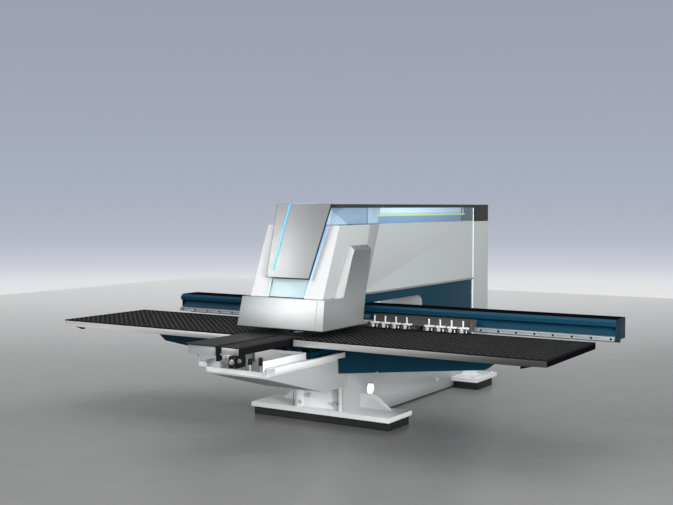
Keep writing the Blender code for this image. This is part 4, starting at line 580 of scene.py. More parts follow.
# Each table edge has its own gradient, a painted reflection brighter at its left end and darker to the right.
TABLE_EDGES: dict[str, Finish] = {
    "left": replace(ALUMINIUM, name="anodised left table edge", light_sweep=LightSweep(Axis.X, -2.6, -0.4, 1.9, 0.72)),
    "right": replace(ALUMINIUM, name="anodised right table edge", light_sweep=LightSweep(Axis.X, 0.3, 2.6, 1.35, 0.16)),
}
LINING = Finish("brown-grey lining", "brown_grey_lining", (0.098, 0.096, 0.093), 0.7, drift=0.1, relief=0.15,
                specular=0.2)
NATURAL = Finish("white moulding", "white_paint", (0.80, 0.80, 0.79), 0.42, relief=0.08, rub=0.0)
# The last number of each pane is its emission, light painted into the glass.
GLASS = Pane("blue-lit glazing", "blue_glass", (0.34, 0.48, 0.62), 0.20, 0.05)
PALE_GLASS = Pane("pale cyan pane", "blue_glass", (0.62, 0.77, 0.81), 0.62, 0.18)
CYAN = Glow("cyan light guide", "cyan_light", (0.10, 0.42, 0.56), (0.10, 0.34, 0.58), 1.56, 2.17, 0.86)
LAMP = Glow("yellow-green tube", "cyan_light", (0.42, 0.62, 0.12), (0.52, 0.70, 0.16), 2.05, 2.07, 1.1,
            centre_y=1.1, fade=1.6, dim=0.55)
LINER_LIT = Glow("lit reflector", "blue_glass", (0.14, 0.26, 0.46), (0.62, 0.80, 1.0), 2.04, 2.10, 1.0,
                 centre_y=1.25, fade=1.6, dim=0.45)
# The tube's liner: painted light brightens its lower part to white, painted shade darkens its top.
TUBE_PAINTED_LIGHT = Glow("tube liner with painted light and shade", "white_paint", (0.97, 0.98, 0.99), (0.05, 0.055, 0.06), 0.316, 0.334, 0.45)
LINER_BLUE = Glow("blue-lit liner", "blue_glass", (0.20, 0.29, 0.40), (0.17, 0.25, 0.35), 1.98, 2.13, 0.95)
LINER_PALE = Glow("pale blue-lit liner", "blue_glass", (0.38, 0.52, 0.64), (0.32, 0.44, 0.57), 1.98, 2.13,
                  0.8)
SEAM_LIGHT = Glow("white light seam", "cyan_light", (0.72, 0.82, 0.86), (0.86, 0.96, 1.0), 0.6, 2.1, 0.9)
PILLAR_LIGHT = Glow("blue pillar light", "cyan_light", (0.42, 0.66, 0.84), (0.24, 0.40, 0.62), 1.3, 1.98,
                    0.75)


class Shape:
    """A bmesh that grows by blocks, rods, sections and turned bodies, each in the finish that ink names."""

    def __init__(self) -> None:
        """Starts empty, in the first finish."""
        self.mesh = bmesh.new()
        self.ink = 0

    def _paint(self, verts: Sequence[bmesh.types.BMVert]) -> list[bmesh.types.BMFace]:
        """Gives the faces of new vertices the current finish.

        Args:
            verts: the new vertices.

        Returns:
            Those faces.
        """
        faces = {face for vert in verts for face in vert.link_faces}
        for face in faces:
            face.material_index = self.ink
        return list(faces)

    def block(self, low: Point, high: Point, chamfer: float = 0.0) -> "Shape":
        """Adds a box between two corners.

        Args:
            low: one corner.
            high: the opposite corner.
            chamfer: the width of its edges' chamfer, 0 for none.

        Returns:
            The shape itself.
        """
        start, end = Vector(low), Vector(high)
        size = [abs(value) for value in end - start]
        matrix = Matrix.Translation((start + end) / 2) @ Matrix.Diagonal((*size, 1.0))
        made = bmesh.ops.create_cube(self.mesh, size=1.0, matrix=matrix)["verts"]
        self._chamfer(self._paint(made), chamfer)
        return self

    def beside(self, side: int, across: Flat, along: Flat, upright: Flat, chamfer: float = 0.0) -> "Shape":
        """Adds a box at one side of the machine, from its spans in x, y and z at the right."""
        near, far = sorted(side * x for x in across)
        return self.block((near, along[0], upright[0]), (far, along[1], upright[1]), chamfer)

    def _chamfer(self, faces: Sequence[bmesh.types.BMFace], width: float, angle: float = CORNER) -> None:
        """Bevels the sharp edges of some faces.

        Args:
            faces: the faces whose edges are looked at.
            width: the bevel's width.
            angle: the least angle of an edge that counts as sharp.
        """
        if width <= 0.0:
            return
        edges = [edge for edge in {edge for face in faces for edge in face.edges}
                 if len(edge.link_faces) == 2 and edge.calc_face_angle(0.0) > angle]
        bmesh.ops.bevel(self.mesh, geom=edges, offset=width, segments=2, profile=0.5, affect="EDGES",
                        material=-1)

    def rod(self, start: Point, length: float, radius: float, axis: Axis = Axis.Z, sides: int = 24,
            end_radius: Optional[float] = None, chamfer: float = 0.0) -> "Shape":
        """Adds a cylinder or a cone.

        Args:
            start: the middle of its first end.
            length: how far it runs, negative to run back along the axis.
            radius: the radius at its start.
            axis: the direction that it runs along.
            sides: the number of flats round it.
            end_radius: the radius at its end, the same as at its start if left out.
            chamfer: the width of the rims' chamfer.

        Returns:
            The shape itself.
        """
        final = radius if end_radius is None else end_radius
        if length < 0.0:
            start, length, radius, final = tuple(Vector(start) + axis.vector * length), -length, final, radius
        middle = Vector(start) + axis.vector * (length / 2)
        matrix = Matrix.Translation(middle) @ axis.turn
        made = bmesh.ops.create_cone(self.mesh, cap_ends=True, segments=sides, radius1=radius, radius2=final,
                                     depth=length, matrix=matrix)["verts"]
        self._chamfer(self._paint(made), chamfer)
        return self

    def section(self, outline: Sequence[Flat], axis: Axis, start: float, end: float,
                chamfer: float = 0.0) -> "Shape":
        """Extrudes a drawn outline along an axis.

        Args:
            outline: the corners across the axis.
            axis: the direction of the extrusion.
            start: where it begins on the axis.
            end: where it ends.
            chamfer: the width of its edges' chamfer.

        Returns:
            The shape itself.
        """
        ring = [axis.lift(point, start) for point in outline]
        return self._extrude(ring, lambda normal: axis.vector * (end - start), chamfer)

    def plate(self, corners: Sequence[Point], thickness: float, chamfer: float = 0.0) -> "Shape":
        """Adds a flat plate of any lean: a face in space, thickened backwards from its front.

        Args:
            corners: the front face, anticlockwise as seen from its front.
            thickness: how thick the plate is.
            chamfer: the width of its edges' chamfer.

        Returns:
            The shape itself.
        """
        return self._extrude(corners, lambda normal: normal * -thickness, chamfer)

    def _extrude(self, ring: Sequence[Point], shift: Callable[[Vector], Vector], chamfer: float) -> "Shape":
        """Adds a face and draws it out into a solid.

        Args:
            ring: the face's corners in space.
            shift: gives the way to its far side for the face's normal.
            chamfer: the width of the edges' chamfer.

        Returns:
            The shape itself.
        """
        base = [self.mesh.verts.new(corner) for corner in ring]
        face = self.mesh.faces.new(base)
        face.normal_update()
        made = bmesh.ops.extrude_face_region(self.mesh, geom=[face], use_keep_orig=True)["geom"]
        moved = [item for item in made if isinstance(item, bmesh.types.BMVert)]
        bmesh.ops.translate(self.mesh, verts=moved, vec=shift(face.normal))
        faces = self._paint(base + moved)
        bmesh.ops.recalc_face_normals(self.mesh, faces=faces)
        self._chamfer(faces, chamfer)
        return self

    def turned(self, profile: Sequence[Flat], centre: Point, axis: Axis = Axis.Z, sides: int = 32) -> "Shape":
        """Spins a profile of (radius, height) points round an axis.

        Args:
            profile: the points from one end on the axis to the other, or a closed ring off the axis.
            centre: where height 0 stands.
            axis: the axis that it turns round.
            sides: the number of steps round it.

        Returns:
            The shape itself.
        """
        place = Matrix.Translation(centre) @ axis.turn
        body = bmesh.new()
        chain = [body.verts.new(place @ Vector((radius, 0.0, height))) for radius, height in profile]
        ring = profile[0][0] > MERGE
        pairs = list(zip(chain, chain[1:])) + ([(chain[-1], chain[0])] if ring else [])
        edges = [body.edges.new(pair) for pair in pairs]
        bmesh.ops.spin(body, geom=chain + edges, cent=centre, axis=axis.vector, dvec=(0.0, 0.0, 0.0),
                       angle=math.tau, steps=sides, use_merge=True, use_duplicate=False)
        bmesh.ops.remove_doubles(body, verts=body.verts, dist=MERGE)
        bmesh.ops.recalc_face_normals(body, faces=body.faces)
        for face in body.faces:
            face.material_index = self.ink
        held = bpy.data.meshes.new("turned")
        body.to_mesh(held)
        body.free()
        self.mesh.from_mesh(held)
        bpy.data.meshes.remove(held)
        return self

    def screw(self, foot: Point, axis: Axis, out: int, radius: float, height: float, dark: int) -> "Shape":
        """Adds a socket-head cap screw that stands on a surface.

        Args:
            foot: the middle of the head's foot.
            axis: the direction of the screw.
            out: +1 or -1, which way along the axis it looks.
            radius: the head's radius.
            height: the head's height.
            dark: the number of the finish for the socket's floor, a darker one that paints the shade in the
                socket.

        Returns:
            The shape itself.
        """
        self.rod(foot, out * height, radius, axis, 16, chamfer=height * 0.12)
        crown = Vector(foot) + axis.vector * (out * height)
        top = min(self.mesh.faces, key=lambda face: (face.calc_center_median() - crown).length_squared)
        bmesh.ops.inset_region(self.mesh, faces=[top], thickness=radius * 0.38, depth=0.0)
        bmesh.ops.inset_region(self.mesh, faces=[top], thickness=radius * 0.04, depth=-height * 0.55)
        # The socket's floor takes a darker finish as painted shade.
        top.material_index = dark
        return self

    def copies(self, places: Sequence[Point]) -> "Shape":
        """Leaves the shape repeated at each of some offsets, in place of the one that was drawn.

        Args:
            places: the offsets.

        Returns:
            The shape itself.
        """
        single, many = bpy.data.meshes.new("single"), bpy.data.meshes.new("many")
        self.mesh.to_mesh(single)
        points = [vert.co.copy() for vert in single.vertices]
        rings = [tuple(face.vertices) for face in single.polygons]
        inks = [face.material_index for face in single.polygons]
        moved = [point + Vector(place) for place in places for point in points]
        faces = [[index + turn * len(points) for index in ring]
                 for turn in range(len(places)) for ring in rings]
        many.from_pydata(moved, [], faces)
        many.polygons.foreach_set("material_index", inks * len(places))
        self.mesh.clear()
        self.mesh.from_mesh(many)
        bpy.data.meshes.remove(single)
        bpy.data.meshes.remove(many)
        return self


class Workshop:
    """Turns shapes and CAD nodes into named pieces that ride on the frame's bodies."""

    count = 0

    @classmethod
    def publish(cls, name: str, shape: Shape, finishes: Sequence[Surface], host: str,
                stands_for: Sequence[str] = (), edge: float = 0.0, segments: int = 2) -> bpy.types.Object:
        """Makes a piece from a shape.

        Args:
            name: the piece's name.
            shape: the shape, which is used up.
            finishes: the finishes in the order of the shape's inks.
            host: the CAD node that carries it.
            stands_for: the CAD nodes that it replaces.
            edge: the width of a live bevel on its sharp edges.
            segments: the bevel's steps.

        Returns:
            The finished piece.
        """
        data = bpy.data.meshes.new(name)
        shape.mesh.to_mesh(data)
        shape.mesh.free()
        for finish in finishes:
            data.materials.append(finish.material())
        data.polygons.foreach_set("use_smooth", [True] * len(data.polygons))
        piece = link(name, data)
        if edge > 0.0:
            bevel = piece.modifiers.new("edges", "BEVEL")
            bevel.width, bevel.segments = edge, segments
            bevel.limit_method, bevel.angle_limit = "ANGLE", CORNER
            bevel.harden_normals, bevel.use_clamp_overlap = True, False
        else:
            data.set_sharp_from_angle(angle=SHARP)
        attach(piece, BODY_OF[host])
        if stands_for:
            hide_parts(*stands_for)
        cls.count += 1
        LOG.info("%s: %d faces on %s", name, len(data.polygons), BODY_OF[host])
        return piece

    @classmethod
    def refine(cls, node: str, finishes: Sequence[Surface], chooser: Optional[Chooser] = None,
               edge: float = 0.002, segments: int = 2,
               reshape: Optional[Callable[[bmesh.types.BMesh], None]] = None) -> bpy.types.Object:
        """Replaces a CAD node by its own form with finished edges.

        Args:
            node: the CAD node.
            finishes: the finishes to choose from.
            chooser: gives a finish's number for a face's centre and normal; the first one if left out.
            edge: the width of the edges' rounding.
            segments: the rounding's steps.
            reshape: moves vertices before the edges are finished.

        Returns:
            The finished piece.
        """
        shape = Shape()
        shape.mesh.from_mesh(frame["nodes"][node].data)
        bmesh.ops.remove_doubles(shape.mesh, verts=shape.mesh.verts, dist=MERGE)
        shape.mesh.normal_update()
        for face in shape.mesh.faces:
            face.material_index = chooser(face.calc_center_median(), face.normal) if chooser else 0
        bmesh.ops.dissolve_limit(shape.mesh, angle_limit=FLAT, verts=shape.mesh.verts, edges=shape.mesh.edges,
                                 delimit={"MATERIAL"})
        if reshape:
            reshape(shape.mesh)
        return cls.publish(node + "_skin", shape, finishes, node, (node,), edge, segments)


@dataclass
class FloorFeet:
    """The floor pads, the foot plates and their anchor bolts."""

    bolt_radius: float = 0.014
    bolt_height: float = 0.012
    washer_radius: float = 0.022
    washer_height: float = 0.003
    front_bolt: Flat = (0.631, 0.133)
    rear_bolt_x: float = 0.575
    rear_bolt_insets: Flat = (0.035, 0.05)
    plate_thickness: float = 0.0253
    rise: float = 0.022
    same_level: float = 0.0025
    shifts: tuple[Flat, ...] = ((0.1103, 0.022), (0.1256, 0.006), (0.0926, -0.010))

    def build(self) -> None:
        """Builds the feet."""
        for node in ("front_foot_pad", "rear_foot_pad_left", "rear_foot_pad_right"):
            Workshop.refine(node, (RUBBER,), edge=0.004)
        for node in ("front_foot_plate", "rear_foot_left", "rear_foot_right"):
            Workshop.refine(node, (WHITE,), edge=0.003, reshape=self.thicken)
        self.anchors()
        self.pad_grooves()

    def thicken(self, mesh: bmesh.types.BMesh) -> None:
        """Gives a foot plate its full thickness round the solid's top and bottom faces.

        Args:
            mesh: the piece's mesh, changed in place.
        """
        for vert in mesh.verts:
            for level, shift in self.shifts:
                if abs(vert.co.z - level) < self.same_level:
                    vert.co.z += shift

    def anchors(self) -> None:
        """Builds the anchor bolts with their washers."""
        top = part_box("front_foot_plate")[1].z - GUSSET_HEIGHT
        front = Shape()
        for side in SIDES.values():
            self._anchor(front, (side * self.front_bolt[0], self.front_bolt[1], top))
        Workshop.publish("front_foot_anchors", front, (STEEL, BLACK), "front_foot_plate")
        for label, side in SIDES.items():
            low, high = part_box("rear_foot_" + label)
            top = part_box("rear_foot_pad_" + label)[1].z + self.plate_thickness + self.rise
            shape = Shape()
            for y in (low.y + self.rear_bolt_insets[0], high.y - self.rear_bolt_insets[1]):
                self._anchor(shape, (side * self.rear_bolt_x, y, top))
            Workshop.publish("rear_foot_anchors_" + label, shape, (WHITE, GREY), "rear_foot_" + label)

    def _anchor(self, shape: Shape, foot: Point) -> None:
        """Adds one washer and its screw.

        Args:
            shape: the shape that is added to.
            foot: the place of the washer's foot.
        """
        shape.rod(foot, self.washer_height, self.washer_radius, sides=24, chamfer=0.0006)
        shape.screw((*foot[:2], foot[2] + self.washer_height), Axis.Z, 1, self.bolt_radius,
                    self.bolt_height, 1)

    def pad_grooves(self) -> None:
        """Builds the moulded ribs along the front of the rubber pad."""
        low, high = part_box("front_foot_pad")
        shape = Shape()
        for step in range(3):
            z = low.z + (high.z - low.z) * (0.25 + 0.25 * step)
            shape.block((low.x + 0.01, low.y - 0.0015, z - 0.004),
                        (high.x - 0.01, low.y + 0.004, z + 0.004), 0.001)
        Workshop.publish("front_pad_ribs", shape, (RUBBER,), "front_foot_pad")


@dataclass
class WeldedFrame:
    """The welded C-frame with its tube, rails, front pocket and drain."""

    front_y: float = -0.203
    pocket_back: float = -0.133
    pocket_top: float = 0.459
    tube_reach: float = 0.0755
    rail_z: float = 0.62
    rail_half: float = 0.021
    side: float = 0.27
    liner_y: Flat = (1.36, 1.515)
    liner_z: Flat = (0.79, 1.16)
    drain_x: float = -0.31
    wear_x: float = 0.24
    wear_half: float = 0.012
    wear_top: float = 0.784
    wear_y: Flat = (-0.05, 1.38)
    wear_pitch: float = 0.19
    valve: Flat = (-0.150, 0.252)
    drain_height: float = 0.30

    def build(self) -> None:
        """Builds the frame."""
        Workshop.refine("machine_frame", (BLUE, WHITE, STEEL, GREY), self.choose, 0.004, 3)
        self.pocket()
        self.drain()
        self.throat_trim()

    def choose(self, centre: Vector, normal: Vector) -> int:
        """Tells which finish a face of the frame has.

        Args:
            centre: the middle of the face.
            normal: the face's direction.

        Returns:
            The number of the finish.
        """
        in_front = centre.y < self.pocket_back + 0.004 and abs(centre.x) < self.side + 0.002
        if in_front and centre.z < self.pocket_top:
            return 1 if centre.y > self.front_y - 0.003 else 0
        if math.hypot(centre.y - TUBE_CENTRE[0], centre.z - TUBE_CENTRE[1]) < self.tube_reach:
            return 1
        if abs(centre.x) > self.side + 0.001 and abs(centre.z - self.rail_z) < self.rail_half:
            return 2
        (start, end), (low, high) = self.liner_y, self.liner_z
        in_throat = start < centre.y < end and low < centre.z < high
        return 3 if in_throat and abs(normal.x) < 0.5 else 0

    def pocket(self) -> None:
        """Builds the fittings in the front pocket and round it, and two thin dark strips that paint shadow
        lines at the pocket's foot.
        """
        shape = Shape()
        y, (x, z) = self.pocket_back, self.valve
        shape.rod((x, y, z), -0.030, 0.024, Axis.Y, 6, chamfer=0.001)
        shape.rod((x, y - 0.030, z), -0.010, 0.014, Axis.Y, 20, chamfer=0.001)
        shape.section([(0.144, 0.180), (0.225, 0.180), (0.144, 0.210)], Axis.Y, y - 0.05, y, 0.001)
        shape.rod((-0.229, self.front_y, 0.184), -0.006, 0.022, Axis.Y, 28, chamfer=0.001)
        # Two thin dark strips, painted shadow lines along the pocket's foot.
        shape.ink = 1
        shape.block((-0.197, self.front_y + 0.020, 0.1262), (0.119, self.front_y + 0.026, 0.1290))
        shape.block((0.240, self.front_y - 0.0006, 0.1262), (0.269, self.front_y + 0.001, 0.1300))
        Workshop.publish("front_pocket_fittings", shape, (GREY, IRON), "machine_frame")

    def drain(self) -> None:
        """Builds the drain pipe between the housing and the foot plate."""
        shape = Shape()
        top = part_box("front_foot_plate")[1].z - GUSSET_HEIGHT
        x, y = self.drain_x, self.front_y + 0.003
        shape.rod((x, y, top), self.drain_height, 0.007, sides=20)
        shape.rod((x, y, top), 0.012, 0.020, sides=24, chamfer=0.002)
        shape.rod((x, y, top + self.drain_height - 0.015), 0.014, 0.014, sides=6, chamfer=0.001)
        Workshop.publish("drain_pipe", shape, (STEEL,), "machine_frame")

    def throat_trim(self) -> None:
        """Builds the steel wear strips along the throat's lower edges."""
        shape = Shape()
        for side in SIDES.values():
            x, half, top = side * self.wear_x, self.wear_half, self.wear_top
            shape.block((x - half, self.wear_y[0], top - 0.004), (x + half, self.wear_y[1], top), 0.001)
            for step in range(8):
                shape.screw((x, step * self.wear_pitch, top), Axis.Z, 1, 0.005, 0.0025, 1)
        Workshop.publish("throat_wear_strips", shape, (STEEL, BLACK), "machine_frame")


@dataclass
class SideCovers:
    """The light grey covers on the column's and the arm's sides."""

    screw_radius: float = 0.006
    screw_height: float = 0.0022
    outer: float = 0.29
    ledge_top: float = 1.2815
    upper_screws: tuple[Flat, ...] = tuple((y, z) for y in (0.62, 1.35, 2.08, 2.76) for z in (1.345, 1.93))
    lower_screws: tuple[Flat, ...] = ((-0.17, 0.55), (2.76, 0.08), (2.76, 0.52))
    liner_wall: Flat = (0.0672, 0.0688)
    liner_reach: float = 0.24
    liner_end: float = 0.0495
    seam_x: Flat = (0.289, 0.2906)
    seam_y: Flat = (-0.149, -0.146)
    seam_z: Flat = (0.38, 0.5595)

    def build(self) -> None:
        """Builds the covers, their screws, the joint line and the tube's liner."""
        for label, side in SIDES.items():
            Workshop.refine("lower_side_panel_" + label, (GREY,), edge=0.002)
            Workshop.refine("upper_side_panel_" + label, (GREY, SILVER), self.choose, 0.002)
            for level, places in (("upper", self.upper_screws), ("lower", self.lower_screws)):
                screws = Shape()
                for y, z in places:
                    screws.screw((side * self.outer, y, z), Axis.X, side, self.screw_radius,
                                 self.screw_height, 0)
                Workshop.publish("%s_cover_screws_%s" % (level, label), screws, (GREY,),
                                 "%s_side_panel_%s" % (level, label))
            self.seam(label, side)
            self.tube_liner(label, side)

    def choose(self, centre: Vector, normal: Vector) -> int:
        """Tells the silver ledge from the grey cover."""
        return 1 if centre.z < self.ledge_top and abs(centre.x) > self.outer - 0.01 else 0

    def seam(self, label: str, side: int) -> None:
        """Builds the thin dark joint line in the lower cover."""
        line = Shape().beside(side, self.seam_x, self.seam_y, self.seam_z)
        Workshop.publish("lower_cover_seam_" + label, line, (BLACK,), "lower_side_panel_" + label)

    def tube_liner(self, label: str, side: int) -> None:
        """Builds the transport tube's liner, with painted light on its lower part and painted shade at its
        top.

        Args:
            label: the side's name.
            side: -1 at the left, 1 at the right.
        """
        shape = Shape()
        foot = (side * (self.outer - 0.05), *TUBE_CENTRE)
        start, end = side * -self.liner_reach, side * self.liner_end
        thin, thick = self.liner_wall
        shape.turned([(thin, start), (thick, start), (thick, end), (thin, end)], foot, Axis.X, 48)
        Workshop.publish("transport_tube_liner_" + label, shape, (TUBE_PAINTED_LIGHT,), "machine_frame")


def slim_corner(mesh: bmesh.types.BMesh) -> None:
    """Slopes the roof's or the glazing's front left corner back behind the front panel.

    Args:
        mesh: the piece's mesh, changed in place.
    """
    for vert in mesh.verts:
        if vert.co.x < CORNER_X and vert.co.y < CORNER_Y:
            vert.co.y += CORNER_SLOPE


@dataclass
class RearColumn:
    """The rear cabinet with its door, the light seam, the cap and the roof with its tubes."""

    seam_y: float = 2.8335
    outer: float = 0.29
    tube_x: float = 0.235
    tube_z: float = 2.06
    tube_reach: float = 0.0125
    tube_y: Flat = (0.55, 2.69)
    clip_z: Flat = (2.05, 2.139)
    seam_half: float = 0.0055
    seam_z: Flat = (0.58, 2.135)
    door_half: float = 0.262
    door_z: Flat = (0.10, 1.90)
    hinge_z: tuple[float, ...] = (0.35, 1.0, 1.65)
    joint_y: Flat = (0.573, 0.576)
    roof_screw_x: float = 0.265
    roof_screw_y: float = 0.70
    roof_screw_pitch: float = 0.33
    louvre_half: float = 0.16
    louvre_rows: tuple[tuple[float, float, float], ...] = ((0.22, 0.028, 0.016), (1.62, 0.024, 0.014))

    def build(self) -> None:
        """Builds the column."""
        Workshop.refine("rear_cabinet", (GREY,), edge=0.003)
        Workshop.refine("rear_cap", (ANTHRACITE,), edge=0.003)
        Workshop.refine("roof_cap", (ANTHRACITE, LAMP, WHITE), self.choose, 0.0015, reshape=slim_corner)
        self.light_seams()
        self.door()
        self.roof_joint()

    def choose(self, centre: Vector, normal: Vector) -> int:
        """Tells the light tubes and their clips from the roof.

        Args:
            centre: the middle of the face.
            normal: the face's direction.

        Returns:
            The number of the finish.
        """
        off = math.hypot(abs(centre.x) - self.tube_x, centre.z - self.tube_z)
        if off < self.tube_reach and self.tube_y[0] < centre.y < self.tube_y[1]:
            return 1
        beside = abs(abs(centre.x) - self.tube_x) < 0.006
        return 2 if beside and self.clip_z[0] < centre.z < self.clip_z[1] else 0

    def light_seams(self) -> None:
        """Builds the white light guides in the cabinet's side seams."""
        for label, side in SIDES.items():
            guide = Shape().beside(side, (self.outer - 0.0035, self.outer + 0.0005),
                                   (self.seam_y - self.seam_half, self.seam_y + self.seam_half),
                                   self.seam_z, 0.0008)
            Workshop.publish("cabinet_light_seam_" + label, guide, (SEAM_LIGHT,), "rear_cabinet")

    def door(self) -> None:
        """Builds the cabinet's rear door with its hinges, louvres and handle."""
        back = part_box("rear_cabinet")[1].y
        shape = Shape()
        (low, high), edge = self.door_z, self.door_half
        shape.block((-edge, back, low), (edge, back + 0.004, high), 0.0015)
        for z in self.hinge_z:
            shape.rod((-edge - 0.006, back + 0.003, z), 0.07, 0.006, sides=16, chamfer=0.001)
        near, far, half = back + 0.0045, back + 0.0085, self.louvre_half
        for step in range(9):
            for first, pitch, rise in self.louvre_rows:
                low = first + step * pitch
                high = low + rise
                shape.plate([(-half, near, low), (half, near, low), (half, far, high), (-half, far, high)],
                            0.0012)
        shape.ink = 1
        shape.block((0.214, back + 0.003, 0.98), (0.238, back + 0.008, 1.14), 0.002)
        shape.ink = 2
        shape.block((0.220, back + 0.006, 1.00), (0.232, back + 0.0095, 1.10), 0.0015)
        Workshop.publish("cabinet_door", shape, (GREY, BLACK, STEEL), "rear_cabinet")

    def roof_joint(self) -> None:
        """Builds the light joint across the roof and the screws along its edges."""
        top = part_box("roof_cap")[1].z
        shape = Shape()
        edge = self.outer + 0.0004
        shape.block((-edge, self.joint_y[0], top - 0.034), (edge, self.joint_y[1], top + 0.0004))
        Workshop.publish("roof_joint", shape, (STRIP,), "roof_cap")
        shape = Shape()
        for side in SIDES.values():
            for step in range(7):
                y = self.roof_screw_y + step * self.roof_screw_pitch
                shape.screw((side * self.roof_screw_x, y, top), Axis.Z, 1, 0.006, 0.002, 1)
        Workshop.publish("roof_screws", shape, (ANTHRACITE, BLACK), "roof_cap")


@dataclass
class GlazingBand:
    """The lit glazing under the roof, with its liners and the reflectors behind the tubes."""

    low: float = 1.974
    high: float = 2.139
    liner_x: float = 0.128
    liner_thickness: float = 0.003
    front_y: Flat = (-0.30, 0.52)
    post_shift: float = 0.012
    post_y: Flat = (0.52, 0.73)
    lit_y: Flat = (0.73, 2.94)
    rail_x: Flat = (0.236, 0.2825)
    rail_y: Flat = (0.56, 2.82)
    rail_z: Flat = (1.9725, 1.9775)

    def build(self) -> None:
        """Builds the glazing and what shows through it."""
        for label, side in SIDES.items():
            Workshop.refine("glazing_" + label, (GLASS,), edge=0.0008, reshape=slim_corner)
            self.liners(label, side)
            self.bottom_rail(label, side)

    def liners(self, label: str, side: int) -> None:
        """Builds the liners behind the glass, each lit by emission as painted light: a plain front one, a
        pale post and the reflector.

        Args:
            label: the side's name.
            side: -1 at the left, 1 at the right.
        """
        for name, x, along, finish in (
            ("front_liner_", self.liner_x, self.front_y, LINER_BLUE),
            ("liner_post_", self.liner_x + self.post_shift, self.post_y, LINER_PALE),
            ("tube_reflector_", self.liner_x, self.lit_y, LINER_LIT),
        ):
            panel = Shape().beside(side, (x - self.liner_thickness, x), along, (self.low, self.high), 0.0006)
            Workshop.publish(name + label, panel, (finish,), "roof_cap")
        corner = Shape()
        x = side * (self.liner_x + 0.05)
        ring = [(x, -0.30, self.high - 0.002), (x, -0.36, self.low), (x, 0.06, self.low)]
        corner.plate(ring if side < 0 else ring[::-1], 0.003)
        Workshop.publish("liner_gusset_" + label, corner, (LINER_PALE,), "roof_cap")

    def bottom_rail(self, label: str, side: int) -> None:
        """Builds the slim white rail that the glass stands on."""
        rail = Shape().beside(side, self.rail_x, self.rail_y, self.rail_z, 0.0008)
        Workshop.publish("glazing_rail_" + label, rail, (WHITE,), "upper_side_panel_" + label)


@dataclass
class HeadShell:
    """The leaning white shell of the head, with the blue light along its pillars."""

    low_z: float = 1.2903
    high_z: float = 1.972
    front_low: float = -0.772
    front_high: float = -0.478
    inner_low: float = 0.207
    inner_high: float = 0.266
    bevel_y: float = 0.03
    pane_top: float = 1.472

    def front(self, z: float) -> float:
        """Returns the y of the pillars' leaning front face."""
        return between(z, (self.low_z, self.high_z), (self.front_low, self.front_high))

    def inner(self, z: float) -> float:
        """Returns the x of the right pillar's inner edge."""
        return between(z, (self.low_z, self.high_z), (self.inner_low, self.inner_high))

    def build(self) -> None:
        """Builds the shell halves and the light guide."""
        for label in SIDES:
            Workshop.refine("head_shell_" + label, (SHELL, GREY, SHELL_PAINTED_SHADE), self.choose, 0.003, 3)
        self.pillar_light()
        self.pane_edge()

    def choose(self, centre: Vector, normal: Vector) -> int:
        """Tells the flanks, painted grey as shade, and their rear bevels, painted darker, from the paler
        front.
        """
        # Painted shade by face direction: sideways faces grey, their rear bevels darker still.
        flank = 2 if centre.y > self.bevel_y else 1
        return flank if abs(normal.x) >= 0.55 else 0

    def pane_edge(self) -> None:
        """Builds the pane's left part, which laps over the left pillar."""
        shape = Shape()
        low, high = self.low_z + 0.003, self.pane_top
        corners = [(-0.229, low), (0.006 - self.inner(low), low),
                   (0.014 - self.inner(high), high), (-0.240, high)]
        shape.plate([(x, self.front(z) - 0.002, z) for x, z in corners], 0.003, 0.0006)
        Workshop.publish("head_pane_edge", shape, (PALE_GLASS,), "head_shell_left")

    def pillar_light(self) -> None:
        """Builds the blue light guide along the right pillar's inner edge."""
        shape = Shape()
        low, high = self.low_z + 0.004, self.high_z - 0.002
        corners = [(self.inner(z) + beside, self.front(z) - 0.002, z)
                   for z, beside in ((low, 0.001), (low, 0.016), (high, 0.030), (high, 0.001))]
        shape.plate(corners, 0.0035, 0.0008)
        Workshop.publish("pillar_light_right", shape, (PILLAR_LIGHT,), "head_shell_right")


